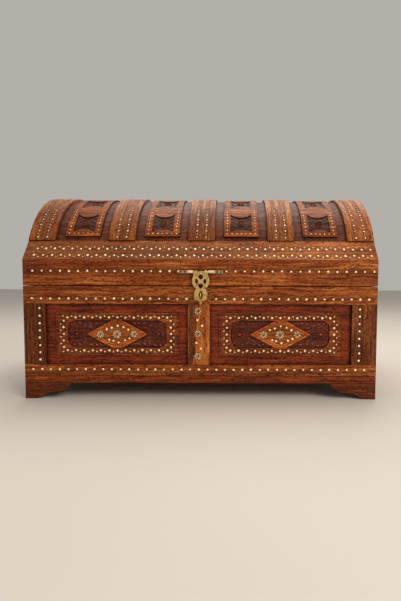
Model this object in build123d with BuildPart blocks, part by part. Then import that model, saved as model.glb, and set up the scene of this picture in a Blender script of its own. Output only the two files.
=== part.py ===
from build123d import *
from math import atan2, cos, degrees, radians, sin
import os

# Barrel-topped dowry chest of frame-and-panel work, with a pierced brass hasp.
# Millimetres. +Z is up, the hasp side faces -Y, the origin is under the middle of the case, on the floor.

os.makedirs("parts", exist_ok=True)

FRONT, BACK = -1, 1
LEFT, RIGHT = -1, 1

# ---------------------------------------------------------------- case, overall
case_width = 600.0
case_depth = 360.0
board = 20.0  # thickness of every rail, post and stile
foot_height = 27.0
strip_height = 13.0
bottom_rail_height = 19.0
opening_height = 104.0
top_rail_height = 30.2
eased_edge = 0.8  # chamfer on outer edges where boards meet
small_facets = 12  # sides of small pins, bores and beads, which keeps their mesh light

# ---------------------------------------------------------------- frames and their joints
left_post_width = 37.0
centre_post_width = 37.0
right_post_width = 43.0
stile_width = 20.0
tenon_length = 8.0
tenon_thickness = 8.0
tenon_shoulder = 8.0
end_tenon_length = 6.0
end_tenon_shoulder = 5.0
joint_play = 0.1
groove_depth = 6.0
panel_setback = 5.0
panel_thickness = 10.0

# ---------------------------------------------------------------- panels
tablet_margin_x = 16.0
tablet_margin_z = 15.2
tablet_proud = 1.4
field_width = 168.0
field_height = 47.0
field_radius = 15.0
field_depth = 2.4
diamond_width = 104.0
diamond_height = 50.0
diamond_nose = 34.0  # radius that rounds the diamond's upper and lower corner
diamond_proud = 0.5  # over the tablet

# ---------------------------------------------------------------- base
strip_width = 26.0
bottom_board_thickness = 8.0
bottom_board_lift = 2.0
foot_length = 79.0
foot_toe = 16.0
foot_shelf = [(55.0, 11.2), (43.0, 10.0)]  # nearly level middle of a foot's ogee: inwards, up
foot_curves = [(69.5, 16.2), (36.0, 7.8), (29.0, 4.4), (22.5, 1.3)]  # bulge, shoulder, turn and hollow
glue_line = 0.1

# ---------------------------------------------------------------- lid
lid_gap = 1.0
lid_rail_height = 44.1
band_run = 27.0
band_rise = 32.7
crown_rise = 91.0  # of the arch through the bands' upper edges
strap_thickness = 5.0
strap_proud = 2.0  # over the bands' upper edges
stave_thickness = 10.0
stave_count = 11
bed_gap = 0.1
lid_tenon_shoulder = 6.0
strap_count = 5
strap_width = 46.0
tablet_width = 61.0
tablet_foot_gap = 9.5  # bare staves between a band and the tablet
tablet_base = 1.4
tablet_relief = 1.6
carving_count = 5
carving_width = 37.0
carving_length = 48.0
carving_pitch = 72.4
disc_radius = 22.0
sill_radius = 36.7  # hollows the outermost squares' outer sides
sill_reach = 17.0  # from such a square's middle to its hollowed side
disc_facets = 16

# ---------------------------------------------------------------- butt hinges
hinge_inset = 100.0  # from the case's end to the middle of a hinge
hinge_length = 50.0
leaf_thickness = 1.2
leaf_width = 18.0
knuckle_radius = 3.5
knuckle_standoff = 3.7
knuckle_count = 3
knuckle_gap = 0.3
leaf_play = 0.1  # of each closed leaf from the middle of the gap
pin_radius = 1.5
pin_clearance = 0.08
screw_spacing = 32.0
screw_length = 14.0
screw_radius = 1.4
screw_head_radius = 2.5
screw_clearance = 0.05

# ---------------------------------------------------------------- hasp, hanger and staple
hasp_x = 1.0
rod_drop = 20.8  # from the lid rail's upper edge to the rod's axis
rod_radius = 1.5
rod_standoff = 4.2
collar_radius = 2.6
collar_start = 13.0
collar_length = 9.2
arm_length = 37.0
arm_height = 5.0
arm_thickness = 2.2
arm_nail_inset = 3.2
arm_nail_spacing = 6.6
nail_width = 1.6
nail_head_radius = 1.5
nail_head_facets = 8
nail_head_height = 0.7
nail_length = 12.0
eye_spacing = 16.6
eye_width = 4.2
eye_tip = 1.3  # from an eye's left side to its point
eye_radius = 3.9
plate_thickness = 2.0
plate_lead = 2.7  # the plate's middle stands this far in front of the rod's axis
plate_top = 1.4  # above the rod's axis
plate_width = 24.6
plate_bulge = 28.8
plate_notch_drop = 7.4
plate_bulge_drop = 15.1
plate_waist = 14.4
plate_waist_drop = 28.2
hole_radius = 4.0
hole_point = 5.0  # from an upright opening's middle down to its point
upper_hole_drop = 8.2
lower_hole_drop = 23.3
side_hole_x = 7.0
side_hole_width = 5.4
side_hole_height = 9.0
side_hole_drop = 15.8
disc_drop = 39.0
disc_width = 22.4
disc_foot_width = 14.0
disc_foot_drop = 47.5
disc_base_drop = 49.6
lobe_x = 8.9  # of the middles of two small lobes on the disc, from the hasp's middle
lobe_drop = 45.2
lobe_radius = 2.0
lobe_facets = 10
slot_width = 6.8
slot_height = 14.6
ball_radius = 3.2
ball_drop = 51.9
ball_levels = [-0.92, -0.38, 0.38, 0.92]  # of the bead's rings, in radii from its middle
staple_wire = 1.0
staple_facets = 8
staple_half_height = 4.4
staple_reach = 15.0
staple_leg = 14.0
staple_drop = 0.5  # below the slot's middle, for the plate's swing

# ---------------------------------------------------------------- levels and places that follow
strip_z = foot_height
bottom_rail_z = strip_z + strip_height
opening_z = bottom_rail_z + bottom_rail_height
top_rail_z = opening_z + opening_height
rim_z = top_rail_z + top_rail_height
lid_z = rim_z + lid_gap
band_z = lid_z + lid_rail_height
spring_z = band_z + band_rise
crown_z = spring_z + crown_rise

half_width = case_width / 2
half_depth = case_depth / 2
inner_x = half_width - board
inner_y = half_depth - board
post_edges = [
    (-half_width, -half_width + left_post_width),
    ((left_post_width - right_post_width - centre_post_width) / 2,
     (left_post_width - right_post_width + centre_post_width) / 2),
    (half_width - right_post_width, half_width),
]
post_names = ["left_post", "centre_post", "right_post"]
stile_y = inner_y - stile_width / 2
groove_width = panel_thickness + 2 * joint_play

spring_y = half_depth - band_run
arch_radius = (spring_y**2 + crown_rise**2) / (2 * crown_rise)
arch_z = crown_z - arch_radius
spring_angle = degrees(atan2(spring_z - arch_z, spring_y))
strap_top = arch_radius + strap_proud
ground_radius = strap_top - strap_thickness
stave_inner = ground_radius - stave_thickness
strap_pitch = (case_width - strap_width) / (strap_count - 1)
tablet_floor = ground_radius + bed_gap + tablet_base
tablet_top = tablet_floor + tablet_relief

hinge_x = half_width - hinge_inset
hinge_y = half_depth + knuckle_standoff
hinge_z = rim_z + lid_gap / 2
case_seat_z = hinge_z - leaf_play - leaf_thickness
lid_seat_z = hinge_z + leaf_play + leaf_thickness
rod_y = -half_depth - rod_standoff
rod_z = band_z - rod_drop
staple_z = rod_z - disc_drop - staple_drop
plate_y = rod_y - plate_lead


def write_piece(piece, name):
    """Label a finished piece and write it as one STEP file."""
    piece.label = name
    export_step(piece, f"parts/{name}.step")


def wall_plane(side, depth=0.0):
    """Upright plane along X, `depth` inside the front (-1) or back (+1) face; its normal is -Y."""
    return Plane.XZ.offset(-side * (half_depth - depth))


def end_plane(side, depth=0.0):
    """Upright plane along Y, `depth` inside the left (-1) or right (+1) face; its normal is +X."""
    return Plane.YZ.offset(side * (half_width - depth))


def slab(x0, x1, y0, y1, z0, z1, mode=Mode.ADD):
    """Straight block between two corners, added to or cut from the part being built."""
    with BuildSketch(Plane.XY.offset(z0)) as base:
        with Locations(((x0 + x1) / 2, (y0 + y1) / 2)):
            Rectangle(x1 - x0, y1 - y0)
    extrude(base.sketch, amount=z1 - z0, mode=mode)


def wall_slab(side, x0, x1, z0, z1, depth, thickness, mode=Mode.ADD):
    """Block of a front or back wall, from `depth` inside its face inwards."""
    faces = sorted([side * (half_depth - depth), side * (half_depth - depth - thickness)])
    slab(x0, x1, faces[0], faces[1], z0, z1, mode)


def end_slab(side, y0, y1, z0, z1, depth, thickness, mode=Mode.ADD):
    """Block of an end wall, from `depth` inside its face inwards."""
    faces = sorted([side * (half_width - depth), side * (half_width - depth - thickness)])
    slab(faces[0], faces[1], y0, y1, z0, z1, mode)


def small_round(radius, bore=False):
    """Facetted circle in the sketch being built; a shaft's corners or a bore's flats lie on the radius."""
    RegularPolygon(radius, small_facets, major_radius=not bore)


def ease_edges(piece, *levels):
    """Chamfer those edges of the piece being built that run round the chest at the given levels."""
    def is_outer(edge):
        middle = edge.center()
        on_face = abs(abs(middle.X) - half_width) < glue_line or abs(abs(middle.Y) - half_depth) < glue_line
        return on_face and any(abs(middle.Z - level) < glue_line for level in levels)

    chamfer([edge for edge in piece.edges() if is_outer(edge)], eased_edge)


def end_tenon_sockets(side, low, high):
    """Cut the mortises that take the end rails' tenons, in a long rail of the front or back."""
    tenon_depth = board / 2 - tenon_thickness / 2
    for end in (LEFT, RIGHT):
        xs = sorted([end * (half_width - tenon_depth + joint_play),
                     end * (half_width - tenon_depth - tenon_thickness - joint_play)])
        wall_slab(side, xs[0], xs[1], low + end_tenon_shoulder - joint_play,
                  high - end_tenon_shoulder + joint_play, board - end_tenon_length - joint_play,
                  end_tenon_length + joint_play, Mode.SUBTRACT)


# ================================================================ front and back frames
def long_rail(side, low, high, groove_low, mortise_low, mortise_high):
    """Rail over the full width: stopped panel groove, post mortises and end-rail mortises."""
    with BuildPart() as rail:
        wall_slab(side, -half_width, half_width, low, high, 0, board)
        wall_slab(side, post_edges[0][1] - groove_depth, post_edges[2][0] + groove_depth, groove_low,
                  groove_low + groove_depth, panel_setback - joint_play, groove_width, Mode.SUBTRACT)
        for left, right in post_edges:
            wall_slab(side, left + tenon_shoulder - joint_play, right - tenon_shoulder + joint_play,
                      mortise_low, mortise_high, panel_setback - joint_play,
                      tenon_thickness + 2 * joint_play, Mode.SUBTRACT)
        end_tenon_sockets(side, low, high)
    return rail


def top_rail(side, name):
    """Top rail; the front one is bored for the staple's legs, the back one for hinge screws."""
    reach = tenon_length + joint_play
    base = long_rail(side, top_rail_z, rim_z, top_rail_z, top_rail_z, top_rail_z + reach)
    with BuildPart() as rail:
        add(base.part)
        if side == FRONT:
            with BuildSketch(wall_plane(side)):
                for level in (staple_z - staple_half_height, staple_z + staple_half_height):
                    with Locations((hasp_x, level)):
                        RegularPolygon(staple_wire + joint_play, staple_facets, major_radius=False)
            extrude(amount=side * (staple_leg + joint_play), mode=Mode.SUBTRACT)
        ease_edges(rail, rim_z)
        if side == BACK:
            hinge_housings(rim_z, case_seat_z)
    write_piece(rail.part, name)


def hinge_housings(face_z, seat_z):
    """Sink both hinges' leaves into the back rail being built and bore it for their screws."""
    levels = sorted([face_z, seat_z])
    reach = hinge_length / 2 + joint_play
    for side in (LEFT, RIGHT):
        slab(side * hinge_x - reach, side * hinge_x + reach, half_depth - leaf_width - joint_play,
             half_depth, levels[0], levels[1], Mode.SUBTRACT)
    with BuildSketch(Plane.XY.offset(seat_z)) as bores:
        with Locations(*screw_places()):
            small_round(screw_radius + screw_clearance, True)
    extrude(bores.sketch, amount=screw_length if seat_z > face_z else -screw_length, mode=Mode.SUBTRACT)


def bottom_rail(side, name):
    """Bottom rail, also grooved on its inner face for the bottom board."""
    reach = tenon_length + joint_play
    base = long_rail(side, bottom_rail_z, opening_z, opening_z - groove_depth, opening_z - reach, opening_z)
    with BuildPart() as rail:
        add(base.part)
        wall_slab(side, -inner_x - groove_depth, inner_x + groove_depth,
                  bottom_rail_z + bottom_board_lift - joint_play,
                  bottom_rail_z + bottom_board_lift + bottom_board_thickness + joint_play,
                  board - groove_depth, groove_depth, Mode.SUBTRACT)
        ease_edges(rail, bottom_rail_z)
    write_piece(rail.part, name)


def post(side, index, name):
    """Post between the rails, with a stub tenon at each end and grooves where panels meet it."""
    left, right = post_edges[index]
    with BuildPart() as upright:
        wall_slab(side, left, right, opening_z, top_rail_z, 0, board)
        wall_slab(side, left + tenon_shoulder, right - tenon_shoulder, opening_z - tenon_length,
                  top_rail_z + tenon_length, panel_setback, tenon_thickness)
        if index > 0:
            wall_slab(side, left, left + groove_depth, opening_z, top_rail_z,
                      panel_setback - joint_play, groove_width, Mode.SUBTRACT)
        if index < 2:
            wall_slab(side, right - groove_depth, right, opening_z, top_rail_z,
                      panel_setback - joint_play, groove_width, Mode.SUBTRACT)
    write_piece(upright.part, name)


def carved_panel(side, index, name):
    """Front panel: raised tablet, sunk field and the diamond that stands in the field."""
    x0 = post_edges[index][1]
    x1 = post_edges[index + 1][0]
    lip = groove_depth - joint_play
    centre = ((x0 + x1) / 2, opening_z + opening_height / 2)
    boss = diamond()
    with BuildPart() as panel:
        wall_slab(side, x0 - lip, x1 + lip, opening_z - lip, top_rail_z + lip, panel_setback,
                  panel_thickness)
        wall_slab(side, x0 + tablet_margin_x, x1 - tablet_margin_x, opening_z + tablet_margin_z,
                  top_rail_z - tablet_margin_z, panel_setback - tablet_proud, tablet_proud)
        with BuildSketch(wall_plane(side, panel_setback - tablet_proud)):
            with Locations(centre):
                RectangleRounded(field_width, field_height, field_radius)
        extrude(amount=side * field_depth, mode=Mode.SUBTRACT)
        with BuildSketch(wall_plane(side, panel_setback - tablet_proud + field_depth)):
            with Locations(centre):
                add(boss)
        extrude(amount=-side * (field_depth + diamond_proud))
    write_piece(panel.part, name)


def diamond():
    """Diamond with rounded upper and lower corners."""
    nose_lift = diamond_nose * (1 / cos(atan2(diamond_height, diamond_width)) - 1)
    half_height = diamond_height / 2 + nose_lift
    with BuildSketch() as outline:
        Polygon((-diamond_width / 2, 0), (0, -half_height), (diamond_width / 2, 0), (0, half_height))
        noses = outline.vertices().sort_by(Axis.Y)
        fillet([noses[0], noses[-1]], diamond_nose)
    return outline.sketch


def plain_panel(side, index, name):
    """Back panel: a board with a raised tablet."""
    x0 = post_edges[index][1]
    x1 = post_edges[index + 1][0]
    lip = groove_depth - joint_play
    with BuildPart() as panel:
        wall_slab(side, x0 - lip, x1 + lip, opening_z - lip, top_rail_z + lip, panel_setback,
                  panel_thickness)
        wall_slab(side, x0 + tablet_margin_x, x1 - tablet_margin_x, opening_z + tablet_margin_z,
                  top_rail_z - tablet_margin_z, panel_setback - tablet_proud, tablet_proud)
    write_piece(panel.part, name)


# ================================================================ end frames
def end_rail(side, low, high, groove_low, mortise_low, name, holds_bottom):
    """Rail of an end frame, tenoned into the long rails, mortised for the stiles."""
    reach = inner_y + end_tenon_length
    groove_end = inner_y - stile_width + groove_depth
    tenon_depth = (board - tenon_thickness) / 2
    mortise_reach = tenon_length + joint_play
    with BuildPart() as rail:
        end_slab(side, -inner_y, inner_y, low, high, 0, board)
        end_slab(side, -reach, reach, low + end_tenon_shoulder, high - end_tenon_shoulder,
                 tenon_depth, tenon_thickness)
        end_slab(side, -groove_end, groove_end, groove_low, groove_low + groove_depth,
                 panel_setback - joint_play, groove_width, Mode.SUBTRACT)
        for y in (-stile_y, stile_y):
            half = stile_width / 2 - end_tenon_shoulder + joint_play
            end_slab(side, y - half, y + half, mortise_low, mortise_low + mortise_reach,
                     panel_setback - joint_play, tenon_thickness + 2 * joint_play, Mode.SUBTRACT)
        if holds_bottom:
            end_slab(side, -inner_y, inner_y, low + bottom_board_lift - joint_play,
                     low + bottom_board_lift + bottom_board_thickness + joint_play,
                     board - groove_depth, groove_depth, Mode.SUBTRACT)
        ease_edges(rail, rim_z, bottom_rail_z)
    write_piece(rail.part, name)


def end_stiles(side, name):
    """Two stiles of an end frame, against the long frames."""
    half = stile_width / 2 - end_tenon_shoulder
    with BuildPart() as stiles:
        for y in (-stile_y, stile_y):
            end_slab(side, y - stile_width / 2, y + stile_width / 2, opening_z, top_rail_z, 0, board)
            end_slab(side, y - half, y + half, opening_z - tenon_length, top_rail_z + tenon_length,
                     panel_setback, tenon_thickness)
        for low in (-inner_y + stile_width - groove_depth, inner_y - stile_width):
            end_slab(side, low, low + groove_depth, opening_z - tenon_length, top_rail_z + tenon_length,
                     panel_setback - joint_play, groove_width, Mode.SUBTRACT)
    write_piece(stiles.part, name)


def end_panel(side, name):
    """Panel of an end frame, with a raised tablet."""
    edge = inner_y - stile_width
    lip = groove_depth - joint_play
    with BuildPart() as panel:
        end_slab(side, -edge - lip, edge + lip, opening_z - lip, top_rail_z + lip,
                 panel_setback, panel_thickness)
        end_slab(side, -edge + tablet_margin_x, edge - tablet_margin_x, opening_z + tablet_margin_z,
                 top_rail_z - tablet_margin_z, panel_setback - tablet_proud, tablet_proud)
    write_piece(panel.part, name)


# ================================================================ base
def bottom_board():
    """Loose board in the grooves of the four bottom rails."""
    lip = groove_depth - joint_play
    low = bottom_rail_z + bottom_board_lift
    with BuildPart() as floor:
        slab(-inner_x - lip, inner_x + lip, -inner_y - lip, inner_y + lip, low,
             low + bottom_board_thickness)
    write_piece(floor.part, "bottom_board")


def base_strips():
    """Four flat strips under the bottom rails, mitred at the corners."""
    corners = [(-half_width, -half_depth), (half_width, -half_depth),
               (half_width, half_depth), (-half_width, half_depth)]
    names = ["base_strip_front", "base_strip_right", "base_strip_back", "base_strip_left"]
    for index, name in enumerate(names):
        start = corners[index]
        end = corners[(index + 1) % 4]
        with BuildPart() as strip:
            with BuildSketch(Plane.XY.offset(strip_z)):
                Polygon(start, end, inset_corner(end, strip_width), inset_corner(start, strip_width),
                        align=None)
            extrude(amount=strip_height)
            ease_edges(strip, strip_z, bottom_rail_z)
        write_piece(strip.part, name)


def inset_corner(corner, amount):
    """Corner of the case moved inwards along both sides."""
    x, y = corner
    return (x - amount * (1 if x > 0 else -1), y - amount * (1 if y > 0 else -1))


def foot_outline(corner, inward):
    """Ogee outline of a bracket, in the sketch being built, from its corner inwards."""
    def at(x, z):
        return (corner + inward * x, z)

    bulge, shoulder, turn, hollow = foot_curves
    with BuildLine() as edge:
        Polyline(at(foot_length, foot_height), at(0, foot_height), at(0, 0), at(foot_toe, 0))
        ThreePointArc(at(foot_toe, 0), at(*hollow), at(*turn))
        ThreePointArc(at(*turn), at(*shoulder), at(*foot_shelf[1]))
        Line(at(*foot_shelf[1]), at(*foot_shelf[0]))
        ThreePointArc(at(*foot_shelf[0]), at(*bulge), at(foot_length, foot_height))
    make_face(edge.edges())


def bracket(plane, corner, inward, thickness, waste):
    """One board of a foot, sawn to the ogee and cut along its mitre; `waste` is what the mitre removes."""
    with BuildPart() as side:
        with BuildSketch(plane):
            foot_outline(corner, inward)
        extrude(amount=thickness)
        with BuildSketch(Plane.XY):
            Polygon(*waste, align=None)
        extrude(amount=foot_height, mode=Mode.SUBTRACT)
    return side.part


def foot(x_side, y_side, name):
    """Bracket foot of two boards mitred together at the case's corner."""
    x, y = x_side * half_width, y_side * half_depth
    inner_corner_x, inner_corner_y = inset_corner((x, y), board)
    slit_x, slit_y = -x_side * glue_line / 2, -y_side * glue_line / 2
    long_waste = [(x, y), (x + slit_x, y), (inner_corner_x + slit_x, inner_corner_y), (x, inner_corner_y)]
    short_waste = [(x, y), (x, y + slit_y), (inner_corner_x, inner_corner_y + slit_y), (inner_corner_x, y)]
    long_side = bracket(wall_plane(y_side), x, -x_side, y_side * board, long_waste)
    short_side = bracket(end_plane(x_side), y, -y_side, -x_side * board, short_waste)
    with BuildPart() as brackets:
        add(long_side)
        add(short_side)
    write_piece(brackets.part, name)


# ================================================================ lid
def on_arch(radius, angle):
    """Point (y, z) on the lid's arch; the angle is counted up from the front."""
    return (-radius * cos(radians(angle)), arch_z + radius * sin(radians(angle)))


def arch_sector(inner, outer, start, end):
    """Piece of ring about the arch's axis, in the YZ sketch being built."""
    middle = (start + end) / 2
    with BuildLine() as edge:
        ThreePointArc(on_arch(outer, start), on_arch(outer, middle), on_arch(outer, end))
        Line(on_arch(outer, end), on_arch(inner, end))
        ThreePointArc(on_arch(inner, end), on_arch(inner, middle), on_arch(inner, start))
        Line(on_arch(inner, start), on_arch(outer, start))
    make_face(edge.edges())


def lid_rail(side, name):
    """Long rail of the lid, mortised for the end boards."""
    tenon_depth = (board - tenon_thickness) / 2
    with BuildPart() as rail:
        wall_slab(side, -half_width, half_width, lid_z, band_z, 0, board)
        for end in (LEFT, RIGHT):
            xs = sorted([end * (half_width - tenon_depth + joint_play),
                         end * (half_width - tenon_depth - tenon_thickness - joint_play)])
            wall_slab(side, xs[0], xs[1], lid_z + lid_tenon_shoulder - joint_play,
                      band_z - lid_tenon_shoulder + joint_play, board - end_tenon_length - joint_play,
                      end_tenon_length + joint_play, Mode.SUBTRACT)
        if side == FRONT:
            with BuildSketch(wall_plane(side)):
                with Locations(*nail_places()):
                    Rectangle(nail_width + 2 * joint_play, nail_width + 2 * joint_play)
            extrude(amount=side * nail_length, mode=Mode.SUBTRACT)
        ease_edges(rail, lid_z)
        if side == BACK:
            hinge_housings(lid_z, lid_seat_z)
    write_piece(rail.part, name)


def band_heel():
    """Inner end of a band's foot on its rail, as (y, z) at the front: its faces are parallel."""
    y, z = on_arch(stave_inner, spring_angle)
    return (y - (z - band_z) * band_run / band_rise, band_z)


def lid_end(side, name):
    """Arched end board under the staves, tenoned into the lid's rails."""
    spring = on_arch(stave_inner - bed_gap, spring_angle)
    heel = band_heel()
    tenon_depth = (board - tenon_thickness) / 2
    reach = inner_y + end_tenon_length
    with BuildPart() as arch:
        with BuildSketch(end_plane(side)):
            with BuildLine():
                Polyline(spring, heel, (-inner_y, band_z), (-inner_y, lid_z), (inner_y, lid_z),
                         (inner_y, band_z), (-heel[0], band_z), (-spring[0], spring[1]))
                ThreePointArc(spring, (0, arch_z + stave_inner - bed_gap), (-spring[0], spring[1]))
            make_face()
        extrude(amount=-side * board)
        ease_edges(arch, lid_z)
        end_slab(side, -reach, reach, lid_z + lid_tenon_shoulder, band_z - lid_tenon_shoulder,
                 tenon_depth, tenon_thickness)
    write_piece(arch.part, name)


def lid_band(side, name):
    """Slanted board between a lid rail and the barrel."""
    outline = [(-half_depth, band_z), on_arch(arch_radius, spring_angle),
               on_arch(stave_inner, spring_angle), band_heel()]
    with BuildPart() as band:
        with BuildSketch(Plane.YZ.offset(-half_width)):
            Polygon(*[(-side * y, z) for y, z in outline], align=None)
        extrude(amount=case_width)
    write_piece(band.part, name)


def lid_staves():
    """Coopered barrel: bevelled staves glued edge to edge."""
    step = (180 - 2 * spring_angle) / stave_count
    slit = degrees(glue_line / stave_inner) / 2
    with BuildPart() as staves:
        with BuildSketch(Plane.YZ.offset(-half_width)):
            for index in range(stave_count):
                start = spring_angle + index * step
                arch_sector(stave_inner, ground_radius, start + slit, start + step - slit)
        extrude(amount=case_width)
    write_piece(staves.part, "lid_staves")


def lid_strap(index):
    """Bent strap over the barrel, from band to band."""
    centre = (index - (strap_count - 1) / 2) * strap_pitch
    with BuildPart() as strap:
        with BuildSketch(Plane.YZ.offset(centre - strap_width / 2)):
            arch_sector(ground_radius + bed_gap, strap_top, spring_angle, 180 - spring_angle)
        extrude(amount=strap_width)
    write_piece(strap.part, f"lid_strap_{index + 1}")


def lid_tablet(index):
    """Bent tablet between two straps, with sunk squares that leave smooth discs between them."""
    centre = (index + 1 - strap_count / 2) * strap_pitch
    start = spring_angle + degrees(tablet_foot_gap / ground_radius)
    pitch_angle = degrees(carving_pitch / tablet_top)
    turn = 90 - 180 / disc_facets  # lays a side of the discs across the tablet
    with BuildPart() as tablet:
        with BuildSketch(Plane.YZ.offset(centre - tablet_width / 2)):
            arch_sector(tablet_floor, tablet_top, start, 180 - start)
        extrude(amount=tablet_width)
        for number in range(carving_count):
            angle = 90 + (number - (carving_count - 1) / 2) * pitch_angle
            y, z = on_arch(tablet_top, angle)
            normal = (0, -cos(radians(angle)), sin(radians(angle)))
            with BuildSketch(Plane(origin=(centre, y, z), x_dir=(1, 0, 0), z_dir=normal)):
                Rectangle(carving_width, carving_length)
                for way, outermost in ((-1, number == 0), (1, number == carving_count - 1)):
                    radius = sill_radius if outermost else disc_radius
                    reach = sill_reach + sill_radius if outermost else carving_pitch / 2
                    with Locations((0, way * reach)):
                        RegularPolygon(radius, disc_facets, rotation=turn, mode=Mode.SUBTRACT)
            extrude(amount=strap_thickness, both=True, mode=Mode.SUBTRACT)
        with BuildSketch(Plane.YZ.offset(centre - tablet_width / 2)):
            arch_sector(ground_radius + bed_gap, tablet_floor, start, 180 - start)
        extrude(amount=tablet_width)
    write_piece(tablet.part, f"lid_tablet_{index + 1}")


# ================================================================ butt hinges
def screw_places():
    """Points (x, y) of the hinge screws, the same in both leaves."""
    y = half_depth - leaf_width / 2
    return [(side * hinge_x + step * screw_spacing / 2, y) for side in (LEFT, RIGHT) for step in (-1, 1)]


def knuckle_spans(first):
    """X spans of every second knuckle of a hinge about x = 0, from number `first` on."""
    length = (hinge_length - (knuckle_count - 1) * knuckle_gap) / knuckle_count
    starts = [-hinge_length / 2 + number * (length + knuckle_gap) for number in range(knuckle_count)]
    return [(start, start + length) for start in starts[first::2]]


def hinge_leaf(side, first, seat_z, up, name):
    """Leaf let into its rail; `up` is the way from its seat to its open face."""
    x = side * hinge_x
    levels = sorted([seat_z, seat_z + up * leaf_thickness])
    open_z = seat_z + up * leaf_thickness
    with BuildPart() as leaf:
        slab(x - hinge_length / 2, x + hinge_length / 2, half_depth - leaf_width, half_depth,
             levels[0], levels[1])
        for start, end in knuckle_spans(first):
            slab(x + start, x + end, half_depth, hinge_y, levels[0], levels[1])
            with BuildSketch(Plane.YZ.offset(x + start)):
                with Locations((hinge_y, hinge_z)):
                    small_round(knuckle_radius)
            extrude(amount=end - start)
        with BuildSketch(Plane.YZ.offset(x - hinge_length / 2)):
            with Locations((hinge_y, hinge_z)):
                small_round(pin_radius + pin_clearance, True)
        extrude(amount=hinge_length, mode=Mode.SUBTRACT)
        screw_cones(side, open_z, -up * leaf_thickness, screw_clearance, Mode.SUBTRACT)
    write_piece(leaf.part, name)


def screw_cones(side, open_z, depth, clearance, mode):
    """Countersunk heads, or their seats, of one hinge's screws."""
    places = [place for place in screw_places() if place[0] * side > 0]
    for x, y in places:
        with BuildSketch(Plane.XY.offset(open_z)) as mouth:
            with Locations((x, y)):
                small_round(screw_head_radius + clearance)
        with BuildSketch(Plane.XY.offset(open_z + depth)) as throat:
            with Locations((x, y)):
                small_round(screw_radius + clearance)
        loft([mouth.sketch, throat.sketch], mode=mode)


def hinge_screws(seat_z, up, name):
    """Countersunk screws that hold the leaves on one side of the gap."""
    open_z = seat_z + up * leaf_thickness
    with BuildPart() as screws:
        for side in (LEFT, RIGHT):
            screw_cones(side, open_z, -up * leaf_thickness, 0, Mode.ADD)
        with BuildSketch(Plane.XY.offset(seat_z)):
            with Locations(*screw_places()):
                small_round(screw_radius)
        extrude(amount=-up * (screw_length - joint_play))
    write_piece(screws.part, name)


def hinge_pin(side, name):
    """Pin through a hinge's knuckles, flush with their ends."""
    with BuildPart() as pin:
        with BuildSketch(Plane.YZ.offset(side * hinge_x - hinge_length / 2)):
            with Locations((hinge_y, hinge_z)):
                small_round(pin_radius)
        extrude(amount=hinge_length)
    write_piece(pin.part, name)


# ================================================================ hasp, hanger and staple
def nail_places():
    """Points (x, z) of the four nails in the hanger's arms."""
    outer = arm_length - arm_nail_inset
    return [(hasp_x + side * (outer - step * arm_nail_spacing), rod_z)
            for side in (LEFT, RIGHT) for step in (0, 1)]


def rod_cylinder(x0, x1, radius, mode=Mode.ADD):
    """Cylinder about the hanger's rod, between two places counted from the hasp's middle."""
    with BuildSketch(Plane.YZ.offset(hasp_x + x0)) as end:
        with Locations((rod_y, rod_z)):
            Circle(radius)
    extrude(end.sketch, amount=x1 - x0, mode=mode)


def rod_prism(x0, x1, radius, mode=Mode.ADD):
    """Facetted eye about the rod, or its bore, between two places counted from the hasp's middle."""
    with BuildSketch(Plane.YZ.offset(hasp_x + x0)) as end:
        with Locations((rod_y, rod_z)):
            small_round(radius, mode == Mode.SUBTRACT)
    extrude(end.sketch, amount=x1 - x0, mode=mode)


def hasp_hanger():
    """Rod with a collar at each end and flattened arms that lie on the lid's rail."""
    with BuildPart() as hanger:
        rod_cylinder(-collar_start, collar_start, rod_radius)
        for side in (LEFT, RIGHT):
            low, high = sorted([side * collar_start, side * (collar_start + collar_length)])
            rod_cylinder(low, high, collar_radius)
            low, high = sorted([side * (collar_start + collar_length / 2), side * arm_length])
            slab(hasp_x + low, hasp_x + high, -half_depth - arm_thickness, -half_depth,
                 rod_z - arm_height / 2, rod_z + arm_height / 2)
        with BuildSketch(wall_plane(FRONT)):
            with Locations(*nail_places()):
                Rectangle(nail_width + 2 * joint_play, nail_width + 2 * joint_play)
        extrude(amount=arm_thickness, mode=Mode.SUBTRACT)
    write_piece(hanger.part, "hasp_hanger")


def hanger_nails():
    """Four square-shanked nails through the hanger's arms."""
    with BuildPart() as nails:
        with BuildSketch(wall_plane(FRONT, -arm_thickness)):
            with Locations(*nail_places()):
                RegularPolygon(nail_head_radius, nail_head_facets)
        extrude(amount=nail_head_height)
        with BuildSketch(wall_plane(FRONT, -arm_thickness)):
            with Locations(*nail_places()):
                Rectangle(nail_width, nail_width)
        extrude(amount=-(arm_thickness + nail_length - joint_play))
    write_piece(nails.part, "hanger_nails")


def pointed_oval(x, z, width, height):
    """Upright oval between two arcs, cut from the sketch being built."""
    with BuildLine() as edge:
        ThreePointArc((x, z - height / 2), (x + width / 2, z), (x, z + height / 2))
        ThreePointArc((x, z + height / 2), (x - width / 2, z), (x, z - height / 2))
    make_face(edge.edges(), mode=Mode.SUBTRACT)


def teardrop(x, z):
    """Round opening with a point below, cut from the sketch being built."""
    half = hole_radius * (1 - (hole_radius / hole_point) ** 2) ** 0.5
    drop = hole_radius**2 / hole_point
    with BuildLine() as edge:
        ThreePointArc((x - half, z - drop), (x, z + hole_radius), (x + half, z - drop))
        Polyline((x + half, z - drop), (x, z - hole_point), (x - half, z - drop))
    make_face(edge.edges(), mode=Mode.SUBTRACT)


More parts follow.
